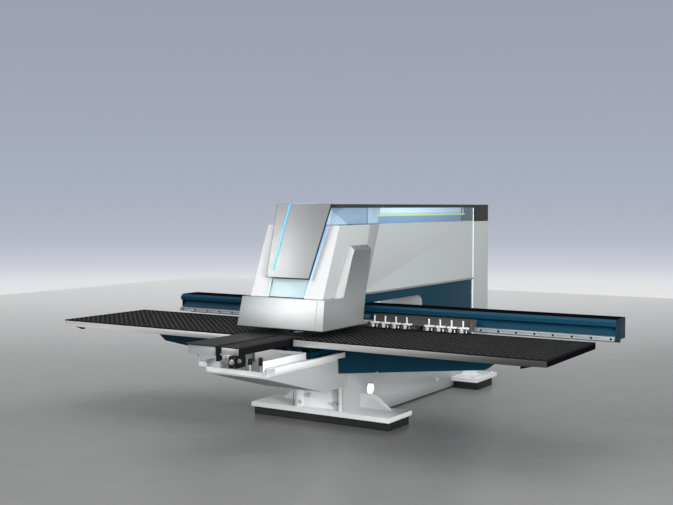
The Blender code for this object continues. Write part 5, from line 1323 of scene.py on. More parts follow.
@dataclass
class HeadFront:
    """The leaning silver front panel with its light guide, shadow gap and the pane under it."""

    top: float = 2.18
    bottom: float = 1.479
    front_high: float = -0.469
    front_low: float = -0.752
    half_high: float = 0.313
    half_low: float = 0.241
    thick: float = 0.03
    strip_foot: Flat = (-0.181, 1.548)
    strip_head_x: float = -0.157
    strip_half: float = 0.0105

    def front(self, z: float) -> float:
        """Returns the y of the panel's leaning face."""
        return between(z, (self.bottom, self.top), (self.front_low, self.front_high))

    def half(self, z: float) -> float:
        """Returns the panel's half width at a height."""
        return between(z, (self.bottom, self.top), (self.half_low, self.half_high))

    def build(self) -> None:
        """Builds the front."""
        Workshop.refine("head_front_panel", (PANEL,), edge=0.003, segments=3)
        self.light_strip()
        Workshop.refine("head_glass", (PALE_GLASS,), edge=0.001)
        self.shadow_gap()
        self.top_light()
        self.foot_highlight()

    def light_strip(self) -> None:
        """Builds the leaning cyan light guide on the panel's left."""
        shape = Shape()
        (low_x, low), high_x, half = self.strip_foot, self.strip_head_x, self.strip_half
        high = self.top - 0.004
        corners = [(low_x - half, low), (low_x + half, low), (high_x + half, high), (high_x - half, high)]
        shape.plate([(x, self.front(z) - 0.0012, z) for x, z in corners], 0.004, 0.0008)
        Workshop.publish("head_light_strip_skin", shape, (CYAN,), "head_light_strip", ("head_light_strip",))

    def shadow_gap(self) -> None:
        """Builds a dark sheet behind the panel's edges that paints the shadow in the gap as a line."""
        shape = Shape()
        low, high = self.bottom - 0.006, self.top - 0.006
        back = self.thick * 0.5
        corners = [(side * (self.half(z) + 0.006), self.front(z) + back, z)
                   for z, side in ((low, -1), (low, 1), (high, 1), (high, -1))]
        shape.plate(corners, 0.008, 0.001)
        Workshop.publish("front_panel_shadow_sheet", shape, (BLACK,), "head_front_panel")

    def top_light(self) -> None:
        """Builds the thin cyan line along the panel's top edge."""
        shape = Shape()
        y = self.front(self.top)
        shape.block((-0.150, y - 0.001, self.top - 0.002), (0.16, y + 0.006, self.top + 0.0025), 0.0008)
        Workshop.publish("panel_top_light", shape, (CYAN,), "head_front_panel")

    def foot_highlight(self) -> None:
        """Builds a pale strip along the panel's foot that paints the highlight on its lower edge."""
        shape = Shape()
        z = self.bottom
        half, y = self.half(z) - 0.004, self.front(z)
        shape.block((-half, y - 0.0015, z - 0.001), (half, y + 0.006, z + 0.005), 0.0008)
        Workshop.publish("panel_foot_highlight", shape, (STRIP,), "head_front_panel")


@dataclass
class Hood:
    """The silver hood round the punching station."""

    front_low: float = -0.893
    front_high: float = -0.830
    bottom: float = 1.012
    ledge: float = 1.290
    seam_x: float = 0.405
    seam_width: float = 0.0014
    seam_lean: float = 0.012
    ear_x: float = 0.40
    ear_crown: float = 1.6
    half: float = 0.4885
    lip_wall: float = 0.012
    lip_back: float = -0.182

    def front(self, z: float) -> float:
        """Returns the y of the hood's front face."""
        return between(z, (self.bottom, self.ledge), (self.front_low, self.front_high))

    def build(self) -> None:
        """Builds the hood, its joint line and its sealing lip."""
        Workshop.refine("hood_skirt", (SILVER, PALE_SILVER_AND_HIGHLIGHT, SILVER_FLANK_SHADE), self.choose, 0.002)
        self.joint_line()
        self.lip()

    def choose(self, centre: Vector, normal: Vector) -> int:
        """Tells the ears' front slopes, painted pale as a highlight, and the flanks, painted as shade, from
        the front.

        Args:
            centre: the middle of the face.
            normal: the face's direction.

        Returns:
            The number of the finish.
        """
        # Painted highlight on the ears' front slopes, painted shade on the flanks and the ear tops.
        if centre.z > self.ledge and normal.y < -0.25 and abs(centre.x) > self.ear_x:
            return 1
        return 2 if abs(normal.x) > 0.8 or centre.z > self.ear_crown else 0

    def joint_line(self) -> None:
        """Builds the fine joint line at the front's right end."""
        shape = Shape()
        low, high = self.bottom + 0.006, self.ledge - 0.006
        near, far, top = self.seam_x, self.seam_x + self.seam_width, -self.seam_lean
        corners = [(near, low), (far, low), (far + top, high), (near + top, high)]
        shape.plate([(x, self.front(z) - HAIR, z) for x, z in corners], 0.002)
        Workshop.publish("hood_joint_lines", shape, (PANEL,), "hood_skirt")

    def lip(self) -> None:
        """Builds the dark sealing lip under the hood's walls."""
        shape = Shape()
        top, foot, front = self.bottom + 0.001, self.bottom - 0.006, self.front_low + 0.001
        shape.block((-self.half, front, foot), (self.half, front + self.lip_wall, top), 0.001)
        for side in SIDES.values():
            shape.beside(side, (self.half - self.lip_wall, self.half), (front, self.lip_back),
                         (foot, top), 0.001)
        Workshop.publish("hood_lip", shape, (RUBBER,), "hood_skirt")


def bolt_circle(count: int, radius: float, z: float) -> list[Point]:
    """Places screws evenly round the punch's axis.

    Args:
        count: how many there are.
        radius: the circle's radius.
        z: its height.

    Returns:
        The screws' feet.
    """
    turns = [math.tau * (step + 0.5) / count for step in range(count)]
    return [(radius * math.cos(turn), PUNCH_Y + radius * math.sin(turn), z) for turn in turns]


@dataclass
class PunchingHead:
    """The blue press head with its ram, tool holder and punch."""

    flange_z: float = 1.162
    flange_radius: float = 0.105
    flange_thickness: float = 0.008
    ram_bore: float = 0.0475

    def build(self) -> None:
        """Builds the head."""
        Workshop.refine("punch_head_body", (BLUE,), edge=0.004, segments=3)
        Workshop.refine("ram", (STEEL,), edge=0.0015)
        Workshop.refine("punch_holder", (BRIGHT,), edge=0.0015)
        Workshop.refine("punch", (BRIGHT,), edge=0.0006)
        self.flange()
        self.holder_details()

    def flange(self) -> None:
        """Builds the bolted flange round the ram."""
        shape = Shape()
        radius, bore, thick = self.flange_radius, self.ram_bore, self.flange_thickness
        profile = [(bore, 0.0), (radius - 0.004, 0.0), (radius, 0.004), (radius, thick), (bore, thick)]
        shape.turned(profile, (0.0, PUNCH_Y, self.flange_z), Axis.Z, 48)
        for foot in bolt_circle(8, 0.078, self.flange_z):
            shape.screw(foot, Axis.Z, -1, 0.009, 0.007, 1)
        Workshop.publish("ram_flange", shape, (STEEL, BLACK), "punch_head_body")

    def holder_details(self) -> None:
        """Builds the clamping ring and the screws that turn with the holder."""
        low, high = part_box("punch_holder")
        radius = (high.x - low.x) / 2
        inner, outer = radius - 0.002, radius + 0.002
        shape = Shape()
        z = low.z + (high.z - low.z) * 0.25
        profile = [(inner, 0.0), (outer, 0.002), (outer, 0.010), (inner, 0.012)]
        shape.turned(profile, (0.0, PUNCH_Y, z), Axis.Z, 48)
        for foot in bolt_circle(4, 0.040, low.z):
            shape.screw(foot, Axis.Z, -1, 0.006, 0.0035, 1)
        Workshop.publish("punch_clamp_ring", shape, (BRIGHT, BLACK), "punch_holder")


@dataclass
class DieStation:
    """The turning die holder and its die."""

    screw_circle: float = 0.067

    def build(self) -> None:
        """Builds the station."""
        Workshop.refine("die_holder", (STEEL,), edge=0.0015)
        Workshop.refine("die", (BRIGHT,), edge=0.0008)
        shape = Shape()
        for foot in bolt_circle(6, self.screw_circle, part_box("die_holder")[1].z):
            shape.screw(foot, Axis.Z, 1, 0.0075, 0.006, 1)
        Workshop.publish("die_holder_screws", shape, (STEEL, BLACK), "die_holder")


@dataclass
class FrontHousing:
    """The sheet-metal housing under the middle table and the parts tray on it."""

    half: float = 0.335
    front: float = -1.543
    buffer_radius: float = 0.02
    buffer_top: float = 0.82
    tray_floor: float = 0.751
    lip_zone: Flat = (0.72, 0.743)
    lip_half: float = 0.336
    lip_top: float = 0.712
    wall_x: float = 0.290
    wall_foot: float = 0.676
    wall_top: float = 0.806
    wall_back: float = -0.875
    wall_thickness: float = 0.007
    side_wall_x: float = 0.331
    edge_x: Flat = (-0.3455, -0.3385)
    edge_z: Flat = (0.742, 0.775)
    edge_back: float = -0.90
    screw_y: Flat = (-0.68, -0.42)
    buffer_places: tuple[Flat, ...] = ((0.080, -1.443), (0.197, -1.443), (0.080, -0.853), (0.197, -0.853))

    def build(self) -> None:
        """Builds the housing and the tray."""
        Workshop.refine("front_housing", (GREY,), edge=0.002)
        Workshop.refine("parts_tray", (WHITE, RUBBER), self.choose, 0.0015, reshape=self.lower_front)
        self.inner_walls()
        self.screws()
        self.buffer_caps()

    def choose(self, centre: Vector, normal: Vector) -> int:
        """Tells the buffers from the tray."""
        near = min(math.hypot(centre.x - x, centre.y - y) for x, y in self.buffer_places)
        return 1 if near < self.buffer_radius + 0.001 and centre.z > self.tray_floor else 0

    def lower_front(self, mesh: bmesh.types.BMesh) -> None:
        """Lowers the tray's front lip between its side walls.

        Args:
            mesh: the piece's mesh, changed in place.
        """
        low, high = self.lip_zone
        for vert in mesh.verts:
            at_front = vert.co.y < self.front + 0.012 and abs(vert.co.x) < self.lip_half
            if at_front and low < vert.co.z < high:
                vert.co.z = self.lip_top

    def inner_walls(self) -> None:
        """Builds the tray's inner wall at the right, its rear wall and the raised edge at its left."""
        shape = Shape()
        x, back, foot, top = self.wall_x, self.wall_back, self.wall_foot, self.wall_top
        shape.block((x, self.front + 0.001, foot), (x + self.wall_thickness, back, top), 0.0012)
        shape.block((x, back - self.wall_thickness, foot), (self.side_wall_x, back, 0.745), 0.0012)
        shape.block((-x, back - self.wall_thickness, foot), (x, back, top), 0.0012)
        start, end, (low, high) = self.front + 0.002, self.edge_back, self.edge_z
        shape.section([(start, low), (end, low), (end, high), (start, high)], Axis.X, *self.edge_x, 0.0012)
        for step in range(4):
            shape.screw((x + self.wall_thickness, -1.45 + step * 0.18, 0.76), Axis.X, 1, 0.006, 0.003, 1)
        Workshop.publish("tray_inner_walls", shape, (WHITE, IRON), "parts_tray")

    def screws(self) -> None:
        """Builds the fixing screws along the housing's top edge."""
        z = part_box("front_housing")[1].z - 0.03
        shape = Shape()
        for side in SIDES.values():
            for y in self.screw_y:
                shape.screw((side * self.half, y, z), Axis.X, side, 0.006, 0.003, 0)
        Workshop.publish("housing_screws", shape, (GREY,), "front_housing")

    def buffer_caps(self) -> None:
        """Builds the paler caps on the rubber buffers' tops."""
        shape = Shape()
        for x, y in self.buffer_places:
            shape.rod((x, y, self.buffer_top), 0.0012, 0.0165, sides=28, chamfer=0.0004)
            shape.screw((x, y, self.buffer_top + 0.0008), Axis.Z, 1, 0.007, 0.002, 1)
        Workshop.publish("buffer_caps", shape, (ANTHRACITE, BLACK), "parts_tray")


@dataclass
class MiddleTable:
    """The middle table: the tilting flap, the die table, the brush beam and the junction box."""

    front: float = -1.783
    box_width: float = 0.078
    guide_z: float = 0.883
    leg_x: Flat = (0.035, 0.142)
    column_pitch: float = 0.018
    row_pitch: float = 0.0162
    rows: int = 53
    columns: int = 10

    def build(self) -> None:
        """Builds the table."""
        Workshop.refine("parts_flap", (DARK,), edge=0.0015)
        Workshop.refine("flap_frame", (STRIP,), edge=0.0015)
        Workshop.refine("flap_hinge_rod", (STEEL,), edge=0.001)
        Workshop.refine("die_table", (DARK,), edge=0.0015)
        Workshop.refine("beam_support", (SILVER, BLACK), self.choose, 0.002)
        self.brush_beam()
        self.table_screws()
        self.knobs()
        self.front_post()

    def choose(self, centre: Vector, normal: Vector) -> int:
        """Tells the dark edge guide and the front leg from the support."""
        return 1 if centre.z > self.guide_z or not self.leg_x[0] <= centre.x <= self.leg_x[1] else 0

    def brush_beam(self) -> None:
        """Builds the narrow brush field on its beam."""
        low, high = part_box("brush_beam")
        bed = Shape()
        bed.block((low.x, low.y, low.z), (high.x, high.y, high.z - 0.012), 0.001)
        bed.ink = 1
        bed.block((low.x + 0.001, low.y - 0.0012, low.z + 0.001),
                  (high.x - 0.001, low.y + 0.001, high.z - 0.012), 0.0005)
        for x in (low.x + 0.03, high.x - 0.03):
            bed.screw((x, low.y - 0.0012, low.z + 0.022), Axis.Y, -1, 0.005, 0.002, 0)
        Workshop.publish("brush_beam_bed", bed, (BLACK, ALUMINIUM), "brush_beam", ("brush_beam",))
        tufts = Shape()
        tufts.rod((low.x + 0.010, low.y + 0.009, high.z - 0.0125), 0.0120, 0.0052, sides=7,
                  end_radius=0.0068)
        tufts.copies([((column + (row % 2) / 2) * self.column_pitch, row * self.row_pitch, 0.0)
                      for row in range(self.rows) for column in range(self.columns - row % 2)])
        Workshop.publish("brush_beam_tufts", tufts, (BRISTLE,), "brush_beam")

    def table_screws(self) -> None:
        """Builds the countersunk screws in the die table and the flap's frame."""
        low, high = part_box("die_table")
        shape = Shape()
        for x in (low.x + 0.02, high.x - 0.02):
            for step in range(5):
                y = low.y + 0.04 + step * (high.y - low.y - 0.08) / 4
                if abs(y - PUNCH_Y) > 0.02 or abs(x) > 0.15:
                    self._countersunk(shape, (x, y, high.z))
        Workshop.publish("die_table_screws", shape, (STEEL, BLACK), "die_table")
        low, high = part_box("parts_flap")
        shape = Shape()
        for x in (low.x + 0.022, high.x - 0.022):
            for y in (low.y + 0.03, (low.y + high.y) / 2, high.y - 0.03):
                self._countersunk(shape, (x, y, high.z))
        Workshop.publish("flap_screws", shape, (STEEL, BLACK), "parts_flap")

    def _countersunk(self, shape: Shape, place: Point) -> None:
        """Adds a flush screw with a dark socket."""
        shape.screw((place[0], place[1], place[2] - 0.0006), Axis.Z, 1, 0.0055, 0.0012, 1)

    def knobs(self) -> None:
        """Builds the black switch box with its two grey knobs."""
        low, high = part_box("junction_box")
        right = low.x + self.box_width
        shape = Shape()
        shape.block((low.x, low.y, low.z), (right, high.y, high.z), 0.003)
        shape.block((low.x + 0.004, low.y - 0.0015, low.z + 0.005),
                    (right - 0.004, low.y + 0.001, high.z - 0.005), 0.001)
        shape.ink = 1
        ring = [(0.0, 0.0), (0.024, 0.0), (0.024, -0.004), (0.019, -0.006), (0.018, -0.020), (0.015, -0.023),
                (0.006, -0.0235), (0.0, -0.022)]
        shape.turned(ring, (low.x + 0.042, low.y - 0.001, 0.831), Axis.Y, 36)
        side = [(radius * 0.8, -height * 0.8) for radius, height in ring]
        shape.turned(side, (right - 0.001, low.y + 0.045, 0.838), Axis.X, 36)
        for x in (low.x + 0.010, right - 0.010):
            for z in (low.z + 0.013, high.z - 0.013):
                shape.screw((x, low.y - 0.0015, z), Axis.Y, -1, 0.0035, 0.0014, 0)
        Workshop.publish("switch_box", shape, (BLACK, ALUMINIUM), "junction_box", ("junction_box",))

    def front_post(self) -> None:
        """Builds the black post at the beam's left front corner."""
        shape = Shape()
        x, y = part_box("beam_support")[0].x, self.front + 0.001
        shape.block((x - 0.002, y, 0.824), (x + 0.018, y + 0.029, 0.9385), 0.0015)
        for z in (0.84, 0.87):
            shape.screw((x + 0.008, y, z), Axis.Y, -1, 0.005, 0.002, 1)
        Workshop.publish("beam_front_post", shape, (BLACK, IRON), "beam_support")


@dataclass
class SheetTable:
    """One of the two brush tables at the machine's sides."""

    label: str
    row_pitch: float = 0.049
    tuft_pitch: float = 0.0245
    tuft_foot: float = 0.0062
    tuft_tip: float = 0.0082
    border: float = 0.013
    bed_drop: float = 0.0105
    under: float = 0.882
    end_x: float = 2.3
    taper_start: float = 2.40
    tip_reach: float = 2.68
    tip_low: float = 0.890
    stop_y: Flat = (-1.03, -0.96)
    stop_x: Flat = (2.37, 2.49)
    stop_shift: float = 0.07
    stop_end: float = 0.003

    @property
    def side(self) -> int:
        """-1 for the left table, +1 for the right one."""
        return SIDES[self.label]

    def build(self) -> None:
        """Builds the table."""
        Workshop.refine("table_frame_" + self.label, (TABLE_EDGES[self.label], TOP_BLACK), self.choose, 0.002,
                        reshape=self.ends)
        self.bed()
        self.tufts()

    def choose(self, centre: Vector, normal: Vector) -> int:
        """Tells the black outer end from the aluminium frame."""
        at_end = normal.x * self.side > 0.4 and abs(centre.x) > self.end_x
        return 1 if at_end or centre.z < self.under - 0.0015 else 0

    def ends(self, mesh: bmesh.types.BMesh) -> None:
        """Thickens the frame's outer tip and moves the stop block under it outwards along the slope.

        Args:
            mesh: the piece's mesh, changed in place.
        """
        for vert in mesh.verts:
            reach, above = abs(vert.co.x), vert.co.z - self.under
            in_stop = self.stop_y[0] < vert.co.y < self.stop_y[1] and self.stop_x[0] < reach < self.stop_x[1]
            if reach > self.tip_reach - 0.01 and above < 0.035:
                vert.co.z = self.tip_low
            elif in_stop and above < 0.015:
                reach += self.stop_shift
                vert.co.x = self.side * reach
                along = between(reach, (self.taper_start, self.tip_reach), (self.under, self.tip_low))
                if above > -0.01:
                    vert.co.z = along
                elif reach > self.stop_x[1]:
                    vert.co.z = along - self.stop_end

    def bed(self) -> None:
        """Builds the brush's black bed with its raised border."""
        node = "brush_top_" + self.label
        shape = Shape()
        shape.mesh.from_mesh(frame["nodes"][node].data)
        bmesh.ops.remove_doubles(shape.mesh, verts=shape.mesh.verts, dist=MERGE)
        bmesh.ops.dissolve_limit(shape.mesh, angle_limit=FLAT, verts=shape.mesh.verts,
                                 edges=shape.mesh.edges)
        top = max(shape.mesh.faces, key=lambda face: face.calc_center_median().z * 10 + face.calc_area())
        bmesh.ops.inset_region(shape.mesh, faces=[top], thickness=self.border, depth=0.0)
        bmesh.ops.inset_region(shape.mesh, faces=[top], thickness=0.0005, depth=-self.bed_drop)
        Workshop.publish("brush_bed_" + self.label, shape, (BRUSH_BED,), node, (node,), 0.0006)

    def tufts(self) -> None:
        """Builds the bristle tufts, set in rows that run diagonally over the table."""
        node = "brush_top_" + self.label
        low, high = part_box(node)
        inset = self.border + self.tuft_tip
        shape = Shape()
        height = self.bed_drop + 0.0005
        shape.rod((0.0, 0.0, high.z - height), height, self.tuft_foot, sides=8, end_radius=self.tuft_tip)
        places = []
        step = self.row_pitch / math.sqrt(2.0)
        along = self.tuft_pitch / math.sqrt(2.0)
        reach = int((high.x - low.x + high.y - low.y) / along) + 2
        for row in range(-reach, reach):
            for place in range(-reach, reach):
                x = low.x + row * step + place * along
                y = low.y + row * step - place * along
                if low.x + inset < x < high.x - inset and low.y + inset < y < high.y - inset:
                    places.append((x, y, 0.0))
        shape.copies(places)
        Workshop.publish("brush_tufts_" + self.label, shape, (BRISTLE,), node)


@dataclass
class Gantry:
    """The cross beams under the tables and the rail's carrier beam."""

    guide_y: Flat = (0.055, 0.61)
    guide_z: Flat = (0.57, 0.68)
    guide_outer: float = 0.3435
    guide_inner: float = 0.335
    guide_front: float = 0.05
    carrier_top: float = 0.9215
    plate_x: float = 0.380
    block_screws: tuple[Flat, ...] = tuple((y, z) for y in (0.085, 0.149, 0.515, 0.579) for z in (0.60, 0.64))
    beam_screws: tuple[Flat, ...] = tuple((y, z) for y in (0.24, 0.40) for z in (0.58, 0.66, 0.74))
    carrier_screws: tuple[float, ...] = (0.50, 0.66, 0.82, 0.98)
    carrier_screw_z: float = 0.86
    plug_x: Flat = (0.771, 1.40)
    plug_y: float = -0.383
    plug_z: float = 0.587

    def build(self) -> None:
        """Builds the beams."""
        for label, side in SIDES.items():
            Workshop.refine("cross_beam_" + label, (BLUE, STEEL), self.choose_cross, 0.003)
            self.plate_screws(label, side)
        Workshop.refine("carrier_beam", (BLUE, STEEL), self.choose_carrier, 0.004, 3)
        self.carrier_details()

    def choose_cross(self, centre: Vector, normal: Vector) -> int:
        """Tells the guide blocks from the cross beam.

        Args:
            centre: the middle of the face.
            normal: the face's direction.

        Returns:
            The number of the finish.
        """
        reach = abs(centre.x)
        level = self.guide_y[0] < centre.y < self.guide_y[1] and self.guide_z[0] < centre.z < self.guide_z[1]
        block = level and reach < self.guide_outer and abs(normal.x) < 0.99
        return 1 if block or reach < self.guide_inner and centre.y > self.guide_front else 0

    def choose_carrier(self, centre: Vector, normal: Vector) -> int:
        """Tells the guide blocks from the carrier beam."""
        return 1 if centre.z > self.carrier_top else 0

    def plate_screws(self, label: str, side: int) -> None:
        """Builds the screws that hold the side plate, the guide blocks and the beam.

        Args:
            label: the side's name.
            side: -1 at the left, 1 at the right.
        """
        shape = Shape()
        for y, z in self.block_screws:
            shape.screw((side * self.plate_x, y, z), Axis.X, side, 0.008, 0.006, 1)
        for y, z in self.beam_screws:
            shape.screw((side * self.plate_x, y, z), Axis.X, side, 0.010, 0.008, 1)
        Workshop.publish("side_plate_screws_" + label, shape, (IRON, BLACK), "cross_beam_" + label)
        shape = Shape()
        for x in self.plug_x:
            shape.screw((side * x, self.plug_y, self.plug_z), Axis.Y, -1, 0.013, 0.004, 1)
        Workshop.publish("cross_beam_plugs_" + label, shape, (NATURAL, BLACK), "cross_beam_" + label)

    def carrier_details(self) -> None:
        """Builds the screws along the carrier beam."""
        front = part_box("carrier_beam")[0].y
        shape = Shape()
        for side in SIDES.values():
            for x in self.carrier_screws:
                shape.screw((side * x, front, self.carrier_screw_z), Axis.Y, -1, 0.009, 0.007, 1)
        Workshop.publish("carrier_screws", shape, (IRON, BLACK), "carrier_beam")


@dataclass
class TransverseRail:
    """The blue transverse rail with its bright strips."""

    start: float = -2.165
    guide_top: float = 0.9635
    cover_z: float = 1.15
    cover_pitch: float = 0.42
    cover_screw_z: float = 1.12
    strip_front: float = 0.197
    first_screw: float = -2.11
    right_shift: float = -0.038
    pitch: float = 0.177
    screw_z: float = 0.984
    screw_radius: float = 0.0105
    screw_height: float = 0.0018
    end_places: tuple[Flat, ...] = ((0.28, 0.985), (0.49, 0.985), (0.30, 1.13), (0.49, 1.13))

    def build(self) -> None:
        """Builds the rail."""
        Workshop.refine("x_rail", (BLUE, TOP_BLACK, IRON, BLUE_PAINTED_SHADE), self.choose, 0.003)
        for label in SIDES:
            Workshop.refine("rail_strip_" + label, (STRIP,), edge=0.0012)
            self.strip_screws(label)
        self.end_screws()

    def choose(self, centre: Vector, normal: Vector) -> int:
        """Tells the black top cover, the guide rail and the right-facing faces, darker blue as painted shade,
        from the blue beam.

        Args:
            centre: the middle of the face.
            normal: the face's direction.

        Returns:
            The number of the finish.
        """
        if centre.z < self.guide_top:
            return 2
        # Faces that look to the right get the darker blue as painted shade.
        if normal.x > 0.7:
            return 3
        return 1 if normal.z > 0.5 and centre.z > self.cover_z else 0

    def strip_screws(self, label: str) -> None:
        """Builds the socket screws along one strip.

        Args:
            label: the side's name.
        """
        low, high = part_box("rail_strip_" + label)
        shape = Shape()
        shift = self.right_shift if label == "right" else 0.0
        for step in range(40):
            x = self.first_screw + shift + step * self.pitch
            if low.x + 0.012 < x < high.x - 0.012:
                shape.screw((x, self.strip_front, self.screw_z), Axis.Y, -1, self.screw_radius,
                            self.screw_height, 0)
        Workshop.publish("strip_screws_" + label, shape, (TOP_BLACK,), "rail_strip_" + label)

    def end_screws(self) -> None:
        """Builds the screws in the rail's end plates and its rear cover."""
        low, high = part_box("x_rail")
        shape = Shape()
        for x, out in ((low.x, -1), (high.x, 1)):
            for y, z in self.end_places:
                shape.screw((x, y, z), Axis.X, out, 0.007, 0.004, 1)
        for step in range(12):
            x = self.start + 0.2 + step * self.cover_pitch
            shape.screw((x, high.y, self.cover_screw_z), Axis.Y, 1, 0.006, 0.003, 1)
        Workshop.publish("rail_cover_screws", shape, (IRON, BLACK), "x_rail")


@dataclass
class ToolMagazine:
    """The linear tool magazine: a lined trough and eight tool cassettes."""

    front: float = 0.058
    pin_y: float = 0.128
    pin_shift: float = 0.016
    pin_reach: float = 0.009
    arm_foot: float = 0.9975
    tool_foot: float = 0.9865
    tool_radius: float = 0.0235

    def build(self) -> None:
        """Builds the magazine."""
        Workshop.refine("tool_magazine", (LINING,), edge=0.0015)
        self.left_panel()
        for number in range(1, 9):
            self.cassette(number)

    def cassette(self, number: int) -> None:
        """Builds one cassette with its tool.

        Args:
            number: the cassette's number, from the left.
        """
        node = "tool_cassette_%d" % number
        low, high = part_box(node)
        x = (low.x + high.x) / 2
        Workshop.refine(node, (WHITE, LINING, STEEL), lambda centre, normal: self.choose(x, centre), 0.0012,
                        reshape=lambda mesh: self.shift_pin(x, mesh))
        shape = Shape()
        front = self.front
        shape.rod((x - self.pin_shift, self.pin_y, 1.0095), 0.056, 0.0066, sides=20, chamfer=0.0008)
        shape.block((x - 0.034, front + 0.004, 0.9985), (x + 0.062, front + 0.036, 1.0135), 0.001)
        shape.block((x + 0.042, front - 0.0015, 0.9615), (x + 0.050, front + 0.006, 0.9875), 0.001)
        shape.ink = 1
        shape.rod((x - 0.006, front + 0.010, 0.9600), 0.0300, 0.0180, sides=28, chamfer=0.001)
        shape.rod((x - 0.006, front + 0.010, 0.9900), 0.008, 0.0120, sides=24, chamfer=0.0008)
        Workshop.publish("tool_%d" % number, shape, (WHITE, PALE_SILVER_AND_HIGHLIGHT), node)

    def shift_pin(self, x: float, mesh: bmesh.types.BMesh) -> None:
        """Sets the tall pin at the arm's left end.

        Args:
            x: the cassette's middle.
            mesh: the piece's mesh, changed in place.
        """
        for vert in mesh.verts:
            if math.hypot(vert.co.x - x, vert.co.y - self.pin_y) < self.pin_reach:
                vert.co.x -= self.pin_shift

    def choose(self, x: float, centre: Vector) -> int:
        """Tells the arm with its pins and the tool from the cassette's body.

        Args:
            x: the cassette's middle.
            centre: the middle of the face.

        Returns:
            The number of the finish.
        """
        if centre.z > self.arm_foot:
            return 0
        off_tool = math.hypot(centre.x - x, centre.y - (self.front + 0.030))
        return 2 if off_tool < self.tool_radius and centre.z > self.tool_foot else 1

    def left_panel(self) -> None:
        """Builds the lining's narrow part that runs on behind the hood."""
        shape = Shape()
        shape.block((0.236, 0.1905, 1.024), (0.3605, 0.1965, 1.061), 0.0012)
        for x in (0.26, 0.33):
            shape.screw((x, 0.1905, 1.042), Axis.Y, -1, 0.005, 0.002, 1)
        Workshop.publish("magazine_lining_end", shape, (LINING, IRON), "tool_magazine")
        bar = Shape()
        bar.block((0.276, 0.1945, 0.9650), (0.3600, 0.1985, 1.0060), 0.001)
        bar.screw((0.336, 0.1945, 0.9850), Axis.Y, -1, 0.0075, 0.002, 1)
        Workshop.publish("strip_end_plate", bar, (NATURAL, BLACK), "x_rail")


@dataclass
class SheetClamps:
    """The two sheet clamps on the rail."""

    def build(self) -> None:
        """Builds the clamps."""
        for label in SIDES:
            Workshop.refine("clamp_body_" + label, (IRON,), edge=0.0015)
            Workshop.refine("clamp_jaw_" + label, (IRON,), edge=0.001)
            self.fittings(label)

    def fittings(self, label: str) -> None:
        """Builds the clamp's screws and the jaw's grip pad.

        Args:
            label: the side's name.
        """
        low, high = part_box("clamp_body_" + label)
        shape = Shape()
        middle = (low.x + high.x) / 2
        for x in (middle - 0.025, middle + 0.025):
            shape.screw((x, high.y - 0.03, high.z), Axis.Z, 1, 0.008, 0.006, 1)
        Workshop.publish("clamp_screws_" + label, shape, (STEEL, BLACK), "clamp_body_" + label)
        low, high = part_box("clamp_jaw_" + label)
        shape = Shape()
        shape.block((low.x + 0.004, low.y - 0.0008, low.z + 0.002),
                    (high.x - 0.004, low.y + 0.006, low.z + 0.005), 0.0005)
        Workshop.publish("clamp_jaw_tip_" + label, shape, (STEEL,), "clamp_jaw_" + label)


